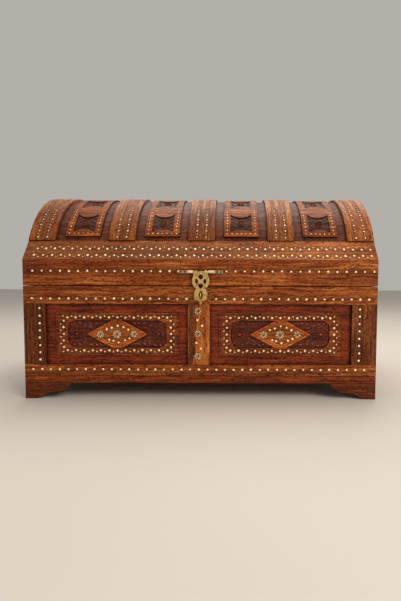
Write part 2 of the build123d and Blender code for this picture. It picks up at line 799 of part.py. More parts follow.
def hasp_outline():
    """Waisted upper field and lobed disc of the hasp with their openings, in the sketch being built."""
    def at(side, half, drop):
        return (hasp_x + side * half, rod_z - drop)

    with BuildLine() as edge:
        Line(at(LEFT, plate_width / 2, -plate_top), at(RIGHT, plate_width / 2, -plate_top))
        for side in (LEFT, RIGHT):
            notch = at(side, plate_width / 2, plate_notch_drop)
            waist = at(side, plate_waist / 2, plate_waist_drop)
            Line(at(side, plate_width / 2, -plate_top), notch)
            ThreePointArc(notch, at(side, plate_bulge / 2, plate_bulge_drop), waist)
            ThreePointArc(waist, at(side, disc_width / 2, disc_drop),
                          at(side, disc_foot_width / 2, disc_foot_drop))
        ThreePointArc(at(LEFT, disc_foot_width / 2, disc_foot_drop), at(LEFT, 0, disc_base_drop),
                      at(RIGHT, disc_foot_width / 2, disc_foot_drop))
    make_face(edge.edges())
    with Locations((hasp_x - lobe_x, rod_z - lobe_drop), (hasp_x + lobe_x, rod_z - lobe_drop)):
        RegularPolygon(lobe_radius, lobe_facets)
    pointed_oval(hasp_x, rod_z - disc_drop, slot_width, slot_height)
    for drop in (upper_hole_drop, lower_hole_drop):
        teardrop(hasp_x, rod_z - drop)
    for side in (LEFT, RIGHT):
        pointed_oval(hasp_x + side * side_hole_x, rod_z - side_hole_drop, side_hole_width, side_hole_height)


def bead_rings():
    """Levels and radii between which the bead at the hasp's tip is built, from its front to its back."""
    levels = [ball_radius * share for share in ball_levels]
    radii = [(ball_radius**2 - level**2) ** 0.5 for level in levels]
    return zip(levels, levels[1:], radii, radii[1:])


def pointed_eye(tip):
    """Eye about the rod, filed to a point that stands `tip` from the hasp's middle, above the plate."""
    low = tip - eye_tip
    high = low + eye_width
    rod_prism(low, high, eye_radius)
    with BuildSketch(wall_plane(FRONT)) as waste:
        for edge in (low, high):
            Polygon((hasp_x + edge, rod_z + plate_top), (hasp_x + edge, rod_z + eye_radius),
                    (hasp_x + tip, rod_z + eye_radius), align=None)
    extrude(waste.sketch, amount=rod_standoff + 2 * eye_radius, mode=Mode.SUBTRACT)


def hasp_plate():
    """Pierced plate that hangs before the rod from two eyes, with a bead at its tip."""
    with BuildPart() as plate:
        with BuildSketch(Plane.XZ.offset(-plate_y - plate_thickness / 2)):
            hasp_outline()
        extrude(amount=plate_thickness)
        for side in (LEFT, RIGHT):
            pointed_eye(side * eye_spacing / 2)
        rod_prism(-collar_start, collar_start, rod_radius + pin_clearance, Mode.SUBTRACT)
        for level, next_level, radius, next_radius in bead_rings():
            with BuildSketch(Plane.XZ.offset(level - plate_y)) as ring:
                with Locations((hasp_x, rod_z - ball_drop)):
                    small_round(radius)
            with BuildSketch(Plane.XZ.offset(next_level - plate_y)) as next_ring:
                with Locations((hasp_x, rod_z - ball_drop)):
                    small_round(next_radius)
            loft([ring.sketch, next_ring.sketch])
    write_piece(plate.part, "hasp_plate")


def hasp_staple():
    """Wire loop on the case's front; its legs go into the top rail."""
    bend = staple_half_height
    tip = half_depth + staple_reach - staple_wire - bend
    back = half_depth - staple_leg
    with BuildPart() as staple:
        with BuildLine(Plane.YZ.offset(hasp_x)) as wire:
            Line((-back, staple_z + bend), (-tip, staple_z + bend))
            ThreePointArc((-tip, staple_z + bend), (-tip - bend, staple_z), (-tip, staple_z - bend))
            Line((-tip, staple_z - bend), (-back, staple_z - bend))
        with BuildSketch(Plane(origin=wire.line @ 0, x_dir=(1, 0, 0), z_dir=wire.line % 0)):
            RegularPolygon(staple_wire, staple_facets)
        sweep()
    write_piece(staple.part, "hasp_staple")


# ================================================================ the chest
for wall, wall_name in ((FRONT, "front"), (BACK, "back")):
    top_rail(wall, f"{wall_name}_top_rail")
    bottom_rail(wall, f"{wall_name}_bottom_rail")
    for number, post_name in enumerate(post_names):
        post(wall, number, f"{wall_name}_{post_name}")
    lid_rail(wall, f"lid_{wall_name}_rail")
    lid_band(wall, f"lid_{wall_name}_band")

for number, panel_side in enumerate(("left", "right")):
    carved_panel(FRONT, number, f"front_{panel_side}_panel")
    plain_panel(BACK, number, f"back_{panel_side}_panel")

for wall, wall_name in ((LEFT, "left"), (RIGHT, "right")):
    groove_top = opening_z - groove_depth
    end_rail(wall, top_rail_z, rim_z, top_rail_z, top_rail_z, f"{wall_name}_end_top_rail", False)
    end_rail(wall, bottom_rail_z, opening_z, groove_top, opening_z - tenon_length - joint_play,
             f"{wall_name}_end_bottom_rail", True)
    end_stiles(wall, f"{wall_name}_end_stiles")
    end_panel(wall, f"{wall_name}_end_panel")
    lid_end(wall, f"lid_{wall_name}_end")
    hinge_leaf(wall, 0, case_seat_z, 1, f"{wall_name}_hinge_case_leaf")
    hinge_leaf(wall, 1, lid_seat_z, -1, f"{wall_name}_hinge_lid_leaf")
    hinge_pin(wall, f"{wall_name}_hinge_pin")
    for other, other_name in ((FRONT, "front"), (BACK, "back")):
        foot(wall, other, f"{other_name}_{wall_name}_foot")

bottom_board()
base_strips()
lid_staves()
for number in range(strap_count):
    lid_strap(number)
for number in range(strap_count - 1):
    lid_tablet(number)
hinge_screws(case_seat_z, 1, "hinge_case_screws")
hinge_screws(lid_seat_z, -1, "hinge_lid_screws")
hasp_hanger()
hanger_nails()
hasp_plate()
hasp_staple()
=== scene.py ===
"""Dresses the barrel-topped dowry chest: waxed rosewood, brass pin inlay, carving and aged brass fittings.

Fields and constants are in millimetres and degrees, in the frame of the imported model: +X to the right,
-Y to the front, +Z up. Meshes are in metres. A place on a face of the chest is a pair (u, v): u runs along X,
v up the face, and each face turns the pair into a place in the model.
"""

import logging
import math
import random
from collections.abc import Callable
from dataclasses import dataclass, field
from enum import Enum

import bmesh
import bpy
from mathutils import Matrix, Vector


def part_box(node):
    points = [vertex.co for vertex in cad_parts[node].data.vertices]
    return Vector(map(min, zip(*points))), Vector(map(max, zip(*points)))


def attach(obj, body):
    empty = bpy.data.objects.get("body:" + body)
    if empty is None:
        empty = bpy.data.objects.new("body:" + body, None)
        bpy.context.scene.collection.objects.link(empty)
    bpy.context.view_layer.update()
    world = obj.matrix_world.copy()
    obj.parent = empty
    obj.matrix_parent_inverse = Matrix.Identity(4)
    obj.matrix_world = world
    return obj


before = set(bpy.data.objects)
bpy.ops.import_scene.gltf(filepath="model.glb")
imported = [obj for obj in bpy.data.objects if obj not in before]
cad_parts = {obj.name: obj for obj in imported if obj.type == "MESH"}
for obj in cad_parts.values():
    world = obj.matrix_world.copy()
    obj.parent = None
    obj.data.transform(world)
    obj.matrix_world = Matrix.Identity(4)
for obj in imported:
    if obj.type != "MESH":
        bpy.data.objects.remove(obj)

LOG = logging.getLogger("dowry_chest")
MM = 0.001
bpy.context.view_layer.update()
IMAGE_HEIGHT = 601.0
SENSOR = 36.0
MODES = {  # property that holds the mode of a type of node
    "Math": "operation", "VectorMath": "operation", "MapRange": "interpolation_type", "Mix": "blend_type"}

Socket = bpy.types.NodeSocket
Tree = bpy.types.ShaderNodeTree
Piece = bpy.types.Object
Finish = bpy.types.Material
Pair = tuple[float, float]
Triple = tuple[float, float, float]
Quad = tuple[float, float, float, float]


# ---- small helpers
def linear(colour: str) -> Quad:
    """Turns an sRGB hex colour into linear RGBA.

    Args:
        colour: Six hex digits after a hash sign.

    Returns:
        Red, green, blue and alpha, each from 0 to 1.
    """
    channels = [int(colour[i:i + 2], 16) / 255 for i in (1, 3, 5)]
    bent = [c / 12.92 if c <= 0.04045 else ((c + 0.055) / 1.055) ** 2.4 for c in channels]
    return (bent[0], bent[1], bent[2], 1.0)


def add(tree: Tree, kind: str, inputs: dict | tuple = (), out: str | None = None,
        **settings: str | int | bool) -> Socket | None:
    """Adds one node with its settings, values and links.

    Args:
        tree: Node tree that the node goes into.
        kind: Blender's name of the node type, after ShaderNode, then a space and its mode, if it needs one.
        inputs: Value or source socket of each input that the mode has, in their order or by name.
        out: Name of the output that is wanted, if it isn't the first.
        settings: Other properties of the node.

    Returns:
        That output, or None if there is none.
    """
    kind, _, mode = kind.partition(" ")
    node = tree.nodes.new("ShaderNode" + kind)
    if kind == "Mix":
        node.data_type = "RGBA"  # only colours are mixed here
    if mode:
        settings[MODES[kind]] = mode
    for name, value in settings.items():
        setattr(node, name, value)
    if isinstance(inputs, tuple):
        pairs = list(zip([socket for socket in node.inputs if socket.enabled], inputs))
    else:
        pairs = [(node.inputs[name], value) for name, value in inputs.items()]
    for socket, value in pairs:
        if isinstance(value, Socket):
            tree.links.new(value, socket)
        else:
            socket.default_value = value
    return node.outputs[out] if out else next((socket for socket in node.outputs if socket.enabled), None)


def away(tree: Tree, value: Socket, middle: float) -> Socket:
    """Adds the nodes of a value's distance from a middle, on either side."""
    shift = add(tree, "Math SUBTRACT", (value, middle))
    return add(tree, "Math ABSOLUTE", (shift,))


def new_tree(name: str) -> tuple[Finish, Tree]:
    """Makes an empty material of the given name, and its node tree.

    Args:
        name: Name of the material.

    Returns:
        The material and its tree.
    """
    material = bpy.data.materials.new(name)
    material.use_nodes = True
    material.node_tree.nodes.clear()
    return material, material.node_tree


def dress(node: str, finish: Finish) -> None:
    """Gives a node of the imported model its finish.

    Args:
        node: Name of the node.
        finish: Material that it gets.
    """
    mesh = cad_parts[node].data
    mesh.materials.clear()
    mesh.materials.append(finish)


def node_box(name: str) -> tuple[Vector, Vector]:
    """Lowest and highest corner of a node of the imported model, in millimetres."""
    low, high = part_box(name)
    return low / MM, high / MM


# ---- the lid's arch and the faces of the chest
STRAP_BOX = node_box("lid_strap_1")
ARCH_CENTRE = 187.88  # height of the arch's axis
ARCH_RADIUS = STRAP_BOX[1].z - ARCH_CENTRE  # of the straps' outer face
STRAP_FOOT = math.acos(-STRAP_BOX[0].y / ARCH_RADIUS) * ARCH_RADIUS  # over the arch, from its axis's level


class Face:
    """A face of the chest that takes inlay or carving."""

    def spot(self, u: float, v: float) -> tuple[Vector, Vector, Vector]:
        """Place, upward direction and outward normal at (u, v)."""
        raise NotImplementedError

    def place(self, u: float, v: float, turn: float = 0.0, size: float = 1.0) -> Matrix:
        """Matrix that puts a motif, modelled flat about the origin, on the face.

        Args:
            u: Place along the face.
            v: Place up the face.
            turn: Angle anticlockwise, as seen from outside.
            size: Scale of the motif.

        Returns:
            Turn, scale and place, in metres.
        """
        at, up, out = self.spot(u, v)
        axes = Matrix((up.cross(out), up, out)).transposed().to_4x4()
        spin = Matrix.Rotation(math.radians(turn), 4, "Z")
        return Matrix.Translation(at * MM) @ axes @ spin @ Matrix.Scale(size, 4)


@dataclass(frozen=True)
class WallFace(Face):
    """Upright face that looks to the front: u is X and v is Z."""

    y: float

    def spot(self, u: float, v: float) -> tuple[Vector, Vector, Vector]:
        """Place, upward direction and outward normal at (u, v)."""
        return Vector((u, self.y, v)), Vector((0, 0, 1)), Vector((0, -1, 0))


@dataclass(frozen=True)
class SlantFace(Face):
    """Slanted band of the lid, between two edges given as (y, z): u is X and v runs up the slope."""

    low: Pair
    high: Pair

    def slope(self) -> Vector:
        """From the lower edge to the upper one."""
        return Vector((0, self.high[0] - self.low[0], self.high[1] - self.low[1]))

    def spot(self, u: float, v: float) -> tuple[Vector, Vector, Vector]:
        """Place, upward direction and outward normal at (u, v)."""
        up = self.slope().normalized()
        return Vector((u, *self.low)) + up * v, up, Vector((0, -up.z, up.y))


@dataclass(frozen=True)
class ArchFace(Face):
    """Face bent over the barrel: u is X and v runs over the arch, from its axis's level at the front."""

    radius: float

    def spot(self, u: float, v: float) -> tuple[Vector, Vector, Vector]:
        """Place, upward direction and outward normal at (u, v).

        Args:
            u: Place along the face.
            v: Place up the face.

        Returns:
            The place in millimetres and the two directions.
        """
        angle = v / self.radius
        out = Vector((0, -math.cos(angle), math.sin(angle)))
        return Vector((u, 0, ARCH_CENTRE)) + out * self.radius, Vector((0, out.z, -out.y)), out


def front_band() -> SlantFace:
    """Face of the lid's front band.

    Returns:
        The face, up to the band's upper edge.
    """
    low, high = node_box("lid_front_band")
    band_run = 27.0  # front to back
    return SlantFace((low.y, low.z), (low.y + band_run, high.z))


# ---- places inside a material
class Grain(Enum):
    """Way that the long fibres of a board run."""

    SIDEWAYS = "x"
    FRONT_TO_BACK = "y"
    UPRIGHT = "z"
    OVER_BARREL = "arc"
    ROUND_CORNER_LEFT = "x-y"
    ROUND_CORNER_RIGHT = "x+y"


class FaceKind(Enum):
    """What u and v of the engraving are on a board."""

    WALL = "wall"
    SLANT = "slant"
    BARREL = "barrel"


@dataclass(frozen=True)
class Spot:
    """Sockets that give a point of the piece in millimetres."""

    x: Socket
    y: Socket
    z: Socket
    arc: Socket  # over the arch, at the radius of the straps' outer face
    radius: Socket  # from the arch's axis

    @classmethod
    def read(cls, tree: Tree) -> "Spot":
        """Adds the nodes that read where a point of the piece is.

        Args:
            tree: Node tree of the finish.

        Returns:
            Sockets of the point's place, in millimetres.
        """
        place = add(tree, "TexCoord", out="Object")
        scaled = add(tree, "VectorMath SCALE", (place, 1 / MM))
        x, y, z = add(tree, "SeparateXYZ", (scaled,)).node.outputs
        front = add(tree, "Math MULTIPLY", (y, -1.0))
        height = add(tree, "Math SUBTRACT", (z, ARCH_CENTRE))
        angle = add(tree, "Math ARCTAN2", (height, front))
        arc = add(tree, "Math MULTIPLY", (angle, ARCH_RADIUS))
        spoke = add(tree, "CombineXYZ", (front, height))
        return cls(x, y, z, arc, add(tree, "VectorMath LENGTH", (spoke,)))


# ---- engraving drawn in the finish
class Cut:
    """A mark of the graver in a board's face."""

    def depth(self, tree: Tree, u: Socket, v: Socket) -> Socket:
        """Adds the nodes of the mark.

        Args:
            tree: Node tree of the finish.
            u: Place along the face.
            v: Place up the face.

        Returns:
            Socket that is 1 in the mark and 0 beside it.
        """
        raise NotImplementedError

    @staticmethod
    def stipple(tree: Tree, u: Socket, v: Socket, pitch: float, slope: Pair, depth: Pair) -> Socket:
        """Adds the nodes of a punched ground.

        Args:
            tree: Node tree of the finish.
            u: Place along the face.
            v: Place up the face.
            pitch: Distance from punch to punch.
            slope: Where a punch's side starts and ends, in pitches from its middle.
            depth: Depth in a punch and between punches.

        Returns:
            The depth there.
        """
        grid = add(tree, "CombineXYZ", (u, v))
        punches = add(tree, "TexVoronoi", {"Vector": grid, "Scale": 1 / pitch}, "Distance",
                      voronoi_dimensions="2D")
        return add(tree, "MapRange SMOOTHSTEP", (punches, *slope, *depth))


@dataclass(frozen=True)
class PinRowCut(Cut):
    """Ground round one row of pins: dark rings, a chain of gouged arcs and fine stippling."""

    level: float  # place of the row, across it
    first: float  # place of a pin, along the row
    pitch: float
    half_width: float = 5.0
    upright: bool = False  # whether the row runs along v and not along u
    limit: Pair = (-1000.0, 1000.0)  # ends of the worked ground, along the row

    ring = (1.9, 3.1, 0.75, 0.0)  # inner and outer radius, depth at each
    arc_depth = 0.5
    arc_swing = 0.82  # of the half width
    line_edge = (0.21, 0.924)  # from a line's middle, where its side starts and ends
    stipple_pitch = 2.7  # real punches stand closer and would not show

    def depth(self, tree: Tree, u: Socket, v: Socket) -> Socket:
        """Socket that is 1 in the mark and 0 beside it.

        Args:
            tree: Node tree of the finish.
            u: Place along the face.
            v: Place up the face.

        Returns:
            Socket that is 1 in the mark and 0 beside it.
        """
        along, across = (v, u) if self.upright else (u, v)
        run = add(tree, "Math SUBTRACT", (along, self.first))
        near = add(tree, "Math WRAP", (run, self.pitch / 2, -self.pitch / 2))
        side = away(tree, across, self.level)
        offset = add(tree, "CombineXYZ", (near, side))
        distance = add(tree, "VectorMath LENGTH", (offset,))
        ring = add(tree, "MapRange SMOOTHSTEP", (distance, *self.ring))
        phase = add(tree, "Math MULTIPLY", (run, math.pi / self.pitch))
        wave = add(tree, "Math COSINE", (phase,))
        bulge = add(tree, "Math ABSOLUTE", (wave,))
        gap = add(tree, "Math MULTIPLY_ADD", (bulge, -self.arc_swing * self.half_width, side))
        beside = add(tree, "Math ABSOLUTE", (gap,))
        arc = add(tree, "MapRange SMOOTHSTEP", (beside, *self.line_edge, self.arc_depth, 0.0))
        dots = self.stipple(tree, along, across, self.stipple_pitch, (0.12, 0.5), (0.95, 0.0))
        reach = self.half_width
        band = add(tree, "MapRange SMOOTHSTEP", (side, reach - 1.0, reach + 0.6, 1.0, 0.0))
        ground = add(tree, "Math MULTIPLY", (dots, band))
        lines = add(tree, "Math MAXIMUM", (ring, arc))
        marks = add(tree, "Math MAXIMUM", (lines, ground))
        low, high = self.limit
        inside = add(tree, "Math COMPARE", (along, (low + high) / 2, (high - low) / 2))
        return add(tree, "Math MULTIPLY", (marks, inside))


@dataclass(frozen=True)
class FrameCut(Cut):
    """A line scribed as a rectangle."""

    centre: Pair
    half: Pair  # half its width and half its height
    half_width: float = 0.45  # of the line

    def depth(self, tree: Tree, u: Socket, v: Socket) -> Socket:
        """Socket that is 1 in the mark and 0 beside it.

        Args:
            tree: Node tree of the finish.
            u: Place along the face.
            v: Place up the face.

        Returns:
            Socket that is 1 in the mark and 0 beside it.
        """
        sides = [add(tree, "Math SUBTRACT", (away(tree, socket, middle), reach))
                 for socket, middle, reach in zip((u, v), self.centre, self.half)]
        outside = add(tree, "Math MAXIMUM", tuple(sides))
        beside = add(tree, "Math ABSOLUTE", (outside,))
        line = (self.half_width * 0.5, self.half_width * 1.8)
        return add(tree, "MapRange SMOOTHSTEP", (beside, *line, 0.85, 0.0))


@dataclass(frozen=True)
class DiamondCut(Cut):
    """Scribed line and stippled ground inside the raised diamond of a front panel."""

    centre: Pair
    half: Pair  # half its width and half its height, from corner to corner

    line_share = 0.86  # of the diamond's size, where the scribed line runs
    ground_share = 0.76  # where the stippled ground starts
    stipple_pitch = 2.4

    def depth(self, tree: Tree, u: Socket, v: Socket) -> Socket:
        """Socket that is 1 in the mark and 0 beside it.

        Args:
            tree: Node tree of the finish.
            u: Place along the face.
            v: Place up the face.

        Returns:
            Socket that is 1 in the mark and 0 beside it.
        """
        shares = [add(tree, "Math DIVIDE", (away(tree, socket, middle), reach))
                  for socket, middle, reach in zip((u, v), self.centre, self.half)]
        share = add(tree, "Math ADD", tuple(shares))
        line = add(tree, "MapRange SMOOTHSTEP", (away(tree, share, self.line_share), 0.01, 0.035, 0.8, 0.0))
        dots = self.stipple(tree, u, v, self.stipple_pitch, (0.15, 0.6), (1.0, 0.6))
        edge = (self.ground_share - 0.04, self.ground_share)
        inside = add(tree, "MapRange SMOOTHSTEP", (share, *edge, 1.0, 0.0))
        ground = add(tree, "Math MULTIPLY", (dots, inside))
        marks = add(tree, "Math MAXIMUM", (line, ground))
        outer = add(tree, "Math LESS_THAN", (share, 1.0))
        return add(tree, "Math MULTIPLY", (marks, outer))


@dataclass(frozen=True)
class DiscCut(Cut):
    """Ground sunk and darkened under an inlaid flower."""

    centre: Pair
    radius: float = 7.2

    def depth(self, tree: Tree, u: Socket, v: Socket) -> Socket:
        """Socket that is 1 in the mark and 0 beside it.

        Args:
            tree: Node tree of the finish.
            u: Place along the face.
            v: Place up the face.

        Returns:
            Socket that is 1 in the mark and 0 beside it.
        """
        place = add(tree, "CombineXYZ", (u, v))
        distance = add(tree, "VectorMath DISTANCE", (place, (*self.centre, 0.0)))
        return add(tree, "MapRange SMOOTHSTEP", (distance, self.radius - 1.4, self.radius + 0.4, 0.8, 0.0))


# ---- finishes
@dataclass(frozen=True)
class WoodTone:
    """Colours of one cut of the wood, from its dark streaks to its pale ones."""

    dark: str  # late wood and mineral streaks
    deep: str
    middle: str  # the body of the board
    light: str  # early wood
    engraved: str = "#2b1a0b"  # bottom of the graver's marks


FRAME_TONE = WoodTone("#4a1e08", "#803b12", "#a35a26", "#cc8044")
SHADED_TONE = WoodTone("#291005", "#4d230a", "#68320f", "#8a4b1a")
POST_TONE = WoodTone("#32150a", "#58290f", "#733c1a", "#9c5e2e")
GOLDEN_TONE = WoodTone("#552109", "#833e12", "#a5571f", "#c4722f")
PANEL_TONE = WoodTone("#360f06", "#66260f", "#823414", "#9c4520", "#35270c")
TABLET_TONE = WoodTone("#42170a", "#702f12", "#91461d", "#b8662f")
DIAMOND_TONE = WoodTone("#6a2c0c", "#a24c18", "#c66a29", "#e08c46")
FIELD_TONE = WoodTone("#301411", "#4e2219", "#633023", "#7e432e")
RELIEF_TONE = WoodTone("#4c1c10", "#823c28", "#ac5839", "#c8744e")
STRAP_TONE = WoodTone("#5c2c10", "#7c4118", "#945424", "#b06e34")
DARK_STRAP_TONE = WoodTone("#481e08", "#6c3412", "#8a4a1d", "#b26c31")
PALE_STRAP_TONE = WoodTone("#6a3517", "#8f4d20", "#aa6330", "#c47f42")
# Painted sheen: the paler tone of the straps near the top of the barrel
CROWN_SHEEN_TONE = WoodTone("#75452a", "#975f3a", "#b2764a", "#cc915e")
LID_TABLET_TONE = WoodTone("#4e2004", "#743408", "#924a10", "#b2621c")
LID_FIELD_TONE = WoodTone("#1c0a04", "#331308", "#471d0c", "#5d2b13")
LID_RELIEF_TONE = WoodTone("#54220a", "#803a16", "#9e5222", "#bc6e34")
STAVE_TONE = WoodTone("#30120b", "#542714", "#6a351e", "#854728")
BASE_TONE = WoodTone("#3c1808", "#6e2f10", "#8c4217", "#b05a20")
FOOT_TONE = WoodTone("#2c1106", "#55250d", "#6e3313", "#8b471c")
INNER_TONE = WoodTone("#5a361f", "#8a5c38", "#a87850", "#c19468")


@dataclass(frozen=True)
class Step:
    """Part of a board with its own tone, which fades in between two levels on a socket of Spot."""

    coordinate: str
    start: float
    end: float
    tone: WoodTone


@dataclass(frozen=True)
class Rosewood:
    """Sheesham, planed, carved and waxed by hand: streaked red-brown with a soft, uneven sheen."""

    grain: Grain
    tone: WoodTone
    plot: Triple = (0.0, 0.0, 0.0)  # where in the log the board was cut
    steps: tuple[Step, ...] = ()
    face: FaceKind = FaceKind.WALL
    cuts: tuple[Cut, ...] = ()  # engraving in the outer face
    sheen: float = 0.42  # roughness of the wax
    figure: float = 0.5  # how strongly the year rings show, from 0 to 1

    sway = (120.0, 45.0)  # length along the grain and width across it, as in the next three
    cloud = (110.0, 15.0)
    streak = (58.0, 2.9)
    pore = (6.0, 1.3)  # real pores are a quarter as wide and would not show
    sway_reach = 16.0
    ring_gap = 6.5
    ring_depth = 70.0  # from the board's face to the heart of the log
    ring_share = 0.24  # of the figure, as in the next two
    streak_share = 0.85
    cloud_share = 0.55
    spread = (0.48, 1.06)  # darkest and lightest sum of the shares
    pore_edge = (0.5, 0.68)  # of the noise, where a pore starts and is deepest
    worn_edge = (0.995, 0.85)  # how far the normal turns where the wear starts and is full
    crevice_shade_and_dirt = (0.3, 0.85, 0.9, 0.0)  # share of open sky in a crevice and out of it, then the painted shade and dirt there
    pore_shade = "#957866"
    worn_shade = "#a08878"
    crevice_shade_colour = "#3c261c"
    edge_radius = 1.0
    crevice_shade_reach = 9.0
    relief = 0.35
    stain = 0.62  # of the engraving, by wax and dirt
    gloss = 0.14  # the wax reflects less than a varnish

    def lie(self, tree: Tree, spot: Spot) -> Socket:
        """Adds the nodes that turn a place into one along, across and into the board.

        Args:
            tree: Node tree of the finish.
            spot: Sockets of the place.

        Returns:
            Vector socket: along the grain, across it, and the rest, in millimetres.
        """
        if self.grain in (Grain.ROUND_CORNER_LEFT, Grain.ROUND_CORNER_RIGHT):
            way = 1.0 if self.grain is Grain.ROUND_CORNER_RIGHT else -1.0
            order = (add(tree, "Math MULTIPLY_ADD", (spot.y, way, spot.x)), spot.z, 0.0)
        elif self.face is FaceKind.BARREL and self.grain is Grain.SIDEWAYS:
            order = (spot.x, spot.arc, spot.radius)
        else:
            order = {
                Grain.SIDEWAYS: (spot.x, spot.z, spot.y),
                Grain.FRONT_TO_BACK: (spot.y, spot.z, spot.x),
                Grain.UPRIGHT: (spot.z, spot.x, spot.y),
                Grain.OVER_BARREL: (spot.arc, spot.x, spot.radius),
            }[self.grain]
        together = add(tree, "CombineXYZ", order)
        return add(tree, "VectorMath ADD", (together, self.plot))

    @staticmethod
    def fibres(tree: Tree, lie: Socket, size: Pair, detail: float, roughness: float) -> Socket:
        """Adds a noise whose grains have a length along the board and a width across it.

        Args:
            tree: Node tree of the finish.
            lie: Place along, across and into the board.
            size: Length and width of a grain.
            detail: Octaves of the noise.
            roughness: Share of each octave in the one before.

        Returns:
            The noise, from 0 to 1.
        """
        length, width = size
        at = add(tree, "VectorMath MULTIPLY", (lie, (1 / length, 1 / width, 1 / width)))
        return add(tree, "TexNoise", {"Vector": at, "Scale": 1.0, "Detail": detail, "Roughness": roughness})

    def figure_value(self, tree: Tree, lie: Socket) -> tuple[Socket, Socket]:
        """Adds the nodes of the wood's figure.

        Args:
            tree: Node tree of the finish.
            lie: Place along, across and into the board.

        Returns:
            Figure from 0, dark, to 1, light, and the streaks by themselves.
        """
        sway = self.fibres(tree, lie, self.sway, 2.0, 0.5).node.outputs["Color"]
        bend = add(tree, "VectorMath MULTIPLY_ADD", (sway, (0.0, self.sway_reach, self.sway_reach), lie))
        cloud = self.fibres(tree, bend, self.cloud, 4.0, 0.55)
        streak = self.fibres(tree, bend, self.streak, 5.0, 0.62)
        heart = add(tree, "VectorMath MULTIPLY_ADD", (bend, (0.12, 1.0, 1.0), (0.0, 0.0, self.ring_depth)))
        wave_scale = 2 * math.pi / 20 / self.ring_gap  # Blender's wave turns once in 2 pi / 20 units
        rings = add(tree, "TexWave", {"Vector": heart, "Scale": wave_scale, "Distortion": 3.0, "Detail": 3.0,
                                      "Detail Scale": 0.4, "Detail Roughness": 0.6}, "Fac",
                    wave_type="RINGS", rings_direction="X", wave_profile="SAW")
        soft = add(tree, "Math MULTIPLY", (rings, self.ring_share * self.figure))
        streaked = add(tree, "Math MULTIPLY_ADD", (streak, self.streak_share, soft))
        clouded = add(tree, "Math MULTIPLY_ADD", (cloud, self.cloud_share, streaked))
        return add(tree, "MapRange", (clouded, *self.spread)), streak

    def tint(self, tree: Tree, tone: WoodTone, value: Socket) -> Socket:
        """Adds the colours of one tone over the figure, which runs from 0 to 1.

        Args:
            tree: Node tree of the finish.
            tone: The tone.
            value: The figure.

        Returns:
            The colour.
        """
        colour = add(tree, "ValToRGB", (value,))
        ramp = colour.node.color_ramp
        while len(ramp.elements) < 4:
            ramp.elements.new(1.0)
        shades = (tone.dark, tone.deep, tone.middle, tone.light)
        for element, position, shade in zip(ramp.elements, (0.05, 0.36, 0.62, 0.92), shades):
            element.position = position
            element.color = linear(shade)
        return colour

    def engrave(self, tree: Tree, spot: Spot) -> Socket:
        """Adds the nodes of the cuts, which are in the outer face only.

        Args:
            tree: Node tree of the finish.
            spot: Sockets of the place.

        Returns:
            Depth from 0 to 1.
        """
        facing = add(tree, "SeparateXYZ", (add(tree, "TexCoord", out="Normal"),), "Y")
        if self.face is FaceKind.BARREL:
            u, v = spot.x, spot.arc
            outer = add(tree, "Math GREATER_THAN", (spot.radius, ARCH_RADIUS - 1.6))
        elif self.face is FaceKind.SLANT:
            band = front_band()
            stretch = band.slope().length / band.slope().z
            u = spot.x
            v = add(tree, "Math MULTIPLY_ADD", (spot.z, stretch, -band.low[1] * stretch))
            outer = add(tree, "Math LESS_THAN", (facing, -0.5))
        else:
            u, v = spot.x, spot.z
            outer = add(tree, "Math LESS_THAN", (facing, -0.7))
        deepest = self.cuts[0].depth(tree, u, v)
        for cut in self.cuts[1:]:
            deepest = add(tree, "Math MAXIMUM", (deepest, cut.depth(tree, u, v)))
        return add(tree, "Math MULTIPLY", (deepest, outer))

    def build(self, name: str) -> Finish:
        """Makes the material of this board.

        Args:
            name: Name of the material.

        Returns:
            The material.
        """
        material, tree = new_tree(name)
        spot = Spot.read(tree)
        lie = self.lie(tree, spot)
        value, streak = self.figure_value(tree, lie)
        colour = self.tint(tree, self.tone, value)
        for step in self.steps:
            share = add(tree, "MapRange", (getattr(spot, step.coordinate), step.start, step.end))
            other = self.tint(tree, step.tone, value)
            colour = add(tree, "Mix", (share, colour, other))
        pores = self.fibres(tree, lie, self.pore, 1.0, 0.5)
        pore = add(tree, "MapRange SMOOTHSTEP", (pores, *self.pore_edge))
        colour = add(tree, "Mix MULTIPLY", (pore, colour, linear(self.pore_shade)))
        height = add(tree, "Math MULTIPLY", (streak, 0.5))
        height = add(tree, "Math MULTIPLY_ADD", (pore, -0.5, height))
        if self.cuts:
            engraved = self.engrave(tree, spot)
            stained = add(tree, "Math MULTIPLY", (engraved, self.stain))
            colour = add(tree, "Mix", (stained, colour, linear(self.tone.engraved)))
            height = add(tree, "Math MULTIPLY_ADD", (engraved, -1.6, height))
        rounded = add(tree, "Bevel", {"Radius": self.edge_radius * MM}, samples=4)
        flat = add(tree, "NewGeometry", out="Normal")
        turned = add(tree, "VectorMath DOT_PRODUCT", (rounded, flat))
        edge = add(tree, "MapRange SMOOTHSTEP", (turned, *self.worn_edge))
        colour = add(tree, "Mix MULTIPLY", (edge, colour, linear(self.worn_shade)))
        # Painted shade: crevices, joints and recesses darken by how little open sky they see, with the dirt
        # of old wax in them
        open_share = add(tree, "AmbientOcclusion", {"Distance": self.crevice_shade_reach * MM}, "AO", samples=6)
        crevice = add(tree, "MapRange", (open_share, *self.crevice_shade_and_dirt))
        colour = add(tree, "Mix MULTIPLY", (crevice, colour, linear(self.crevice_shade_colour)))
        bump = add(tree, "Bump", {"Strength": 1.0, "Distance": self.relief * MM, "Height": height,
                                  "Normal": rounded})
        rough = add(tree, "MapRange", (value, 0.0, 1.0, self.sheen + 0.1, self.sheen - 0.06))
        shader = add(tree, "BsdfPrincipled", {"Base Color": colour, "Roughness": rough, "Normal": bump,
                                              "Specular IOR Level": self.gloss})
        add(tree, "OutputMaterial", (shader,))
        return material

    def dress(self, node: str) -> None:
        """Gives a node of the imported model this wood."""
        dress(node, self.build(f"rosewood_{node}"))


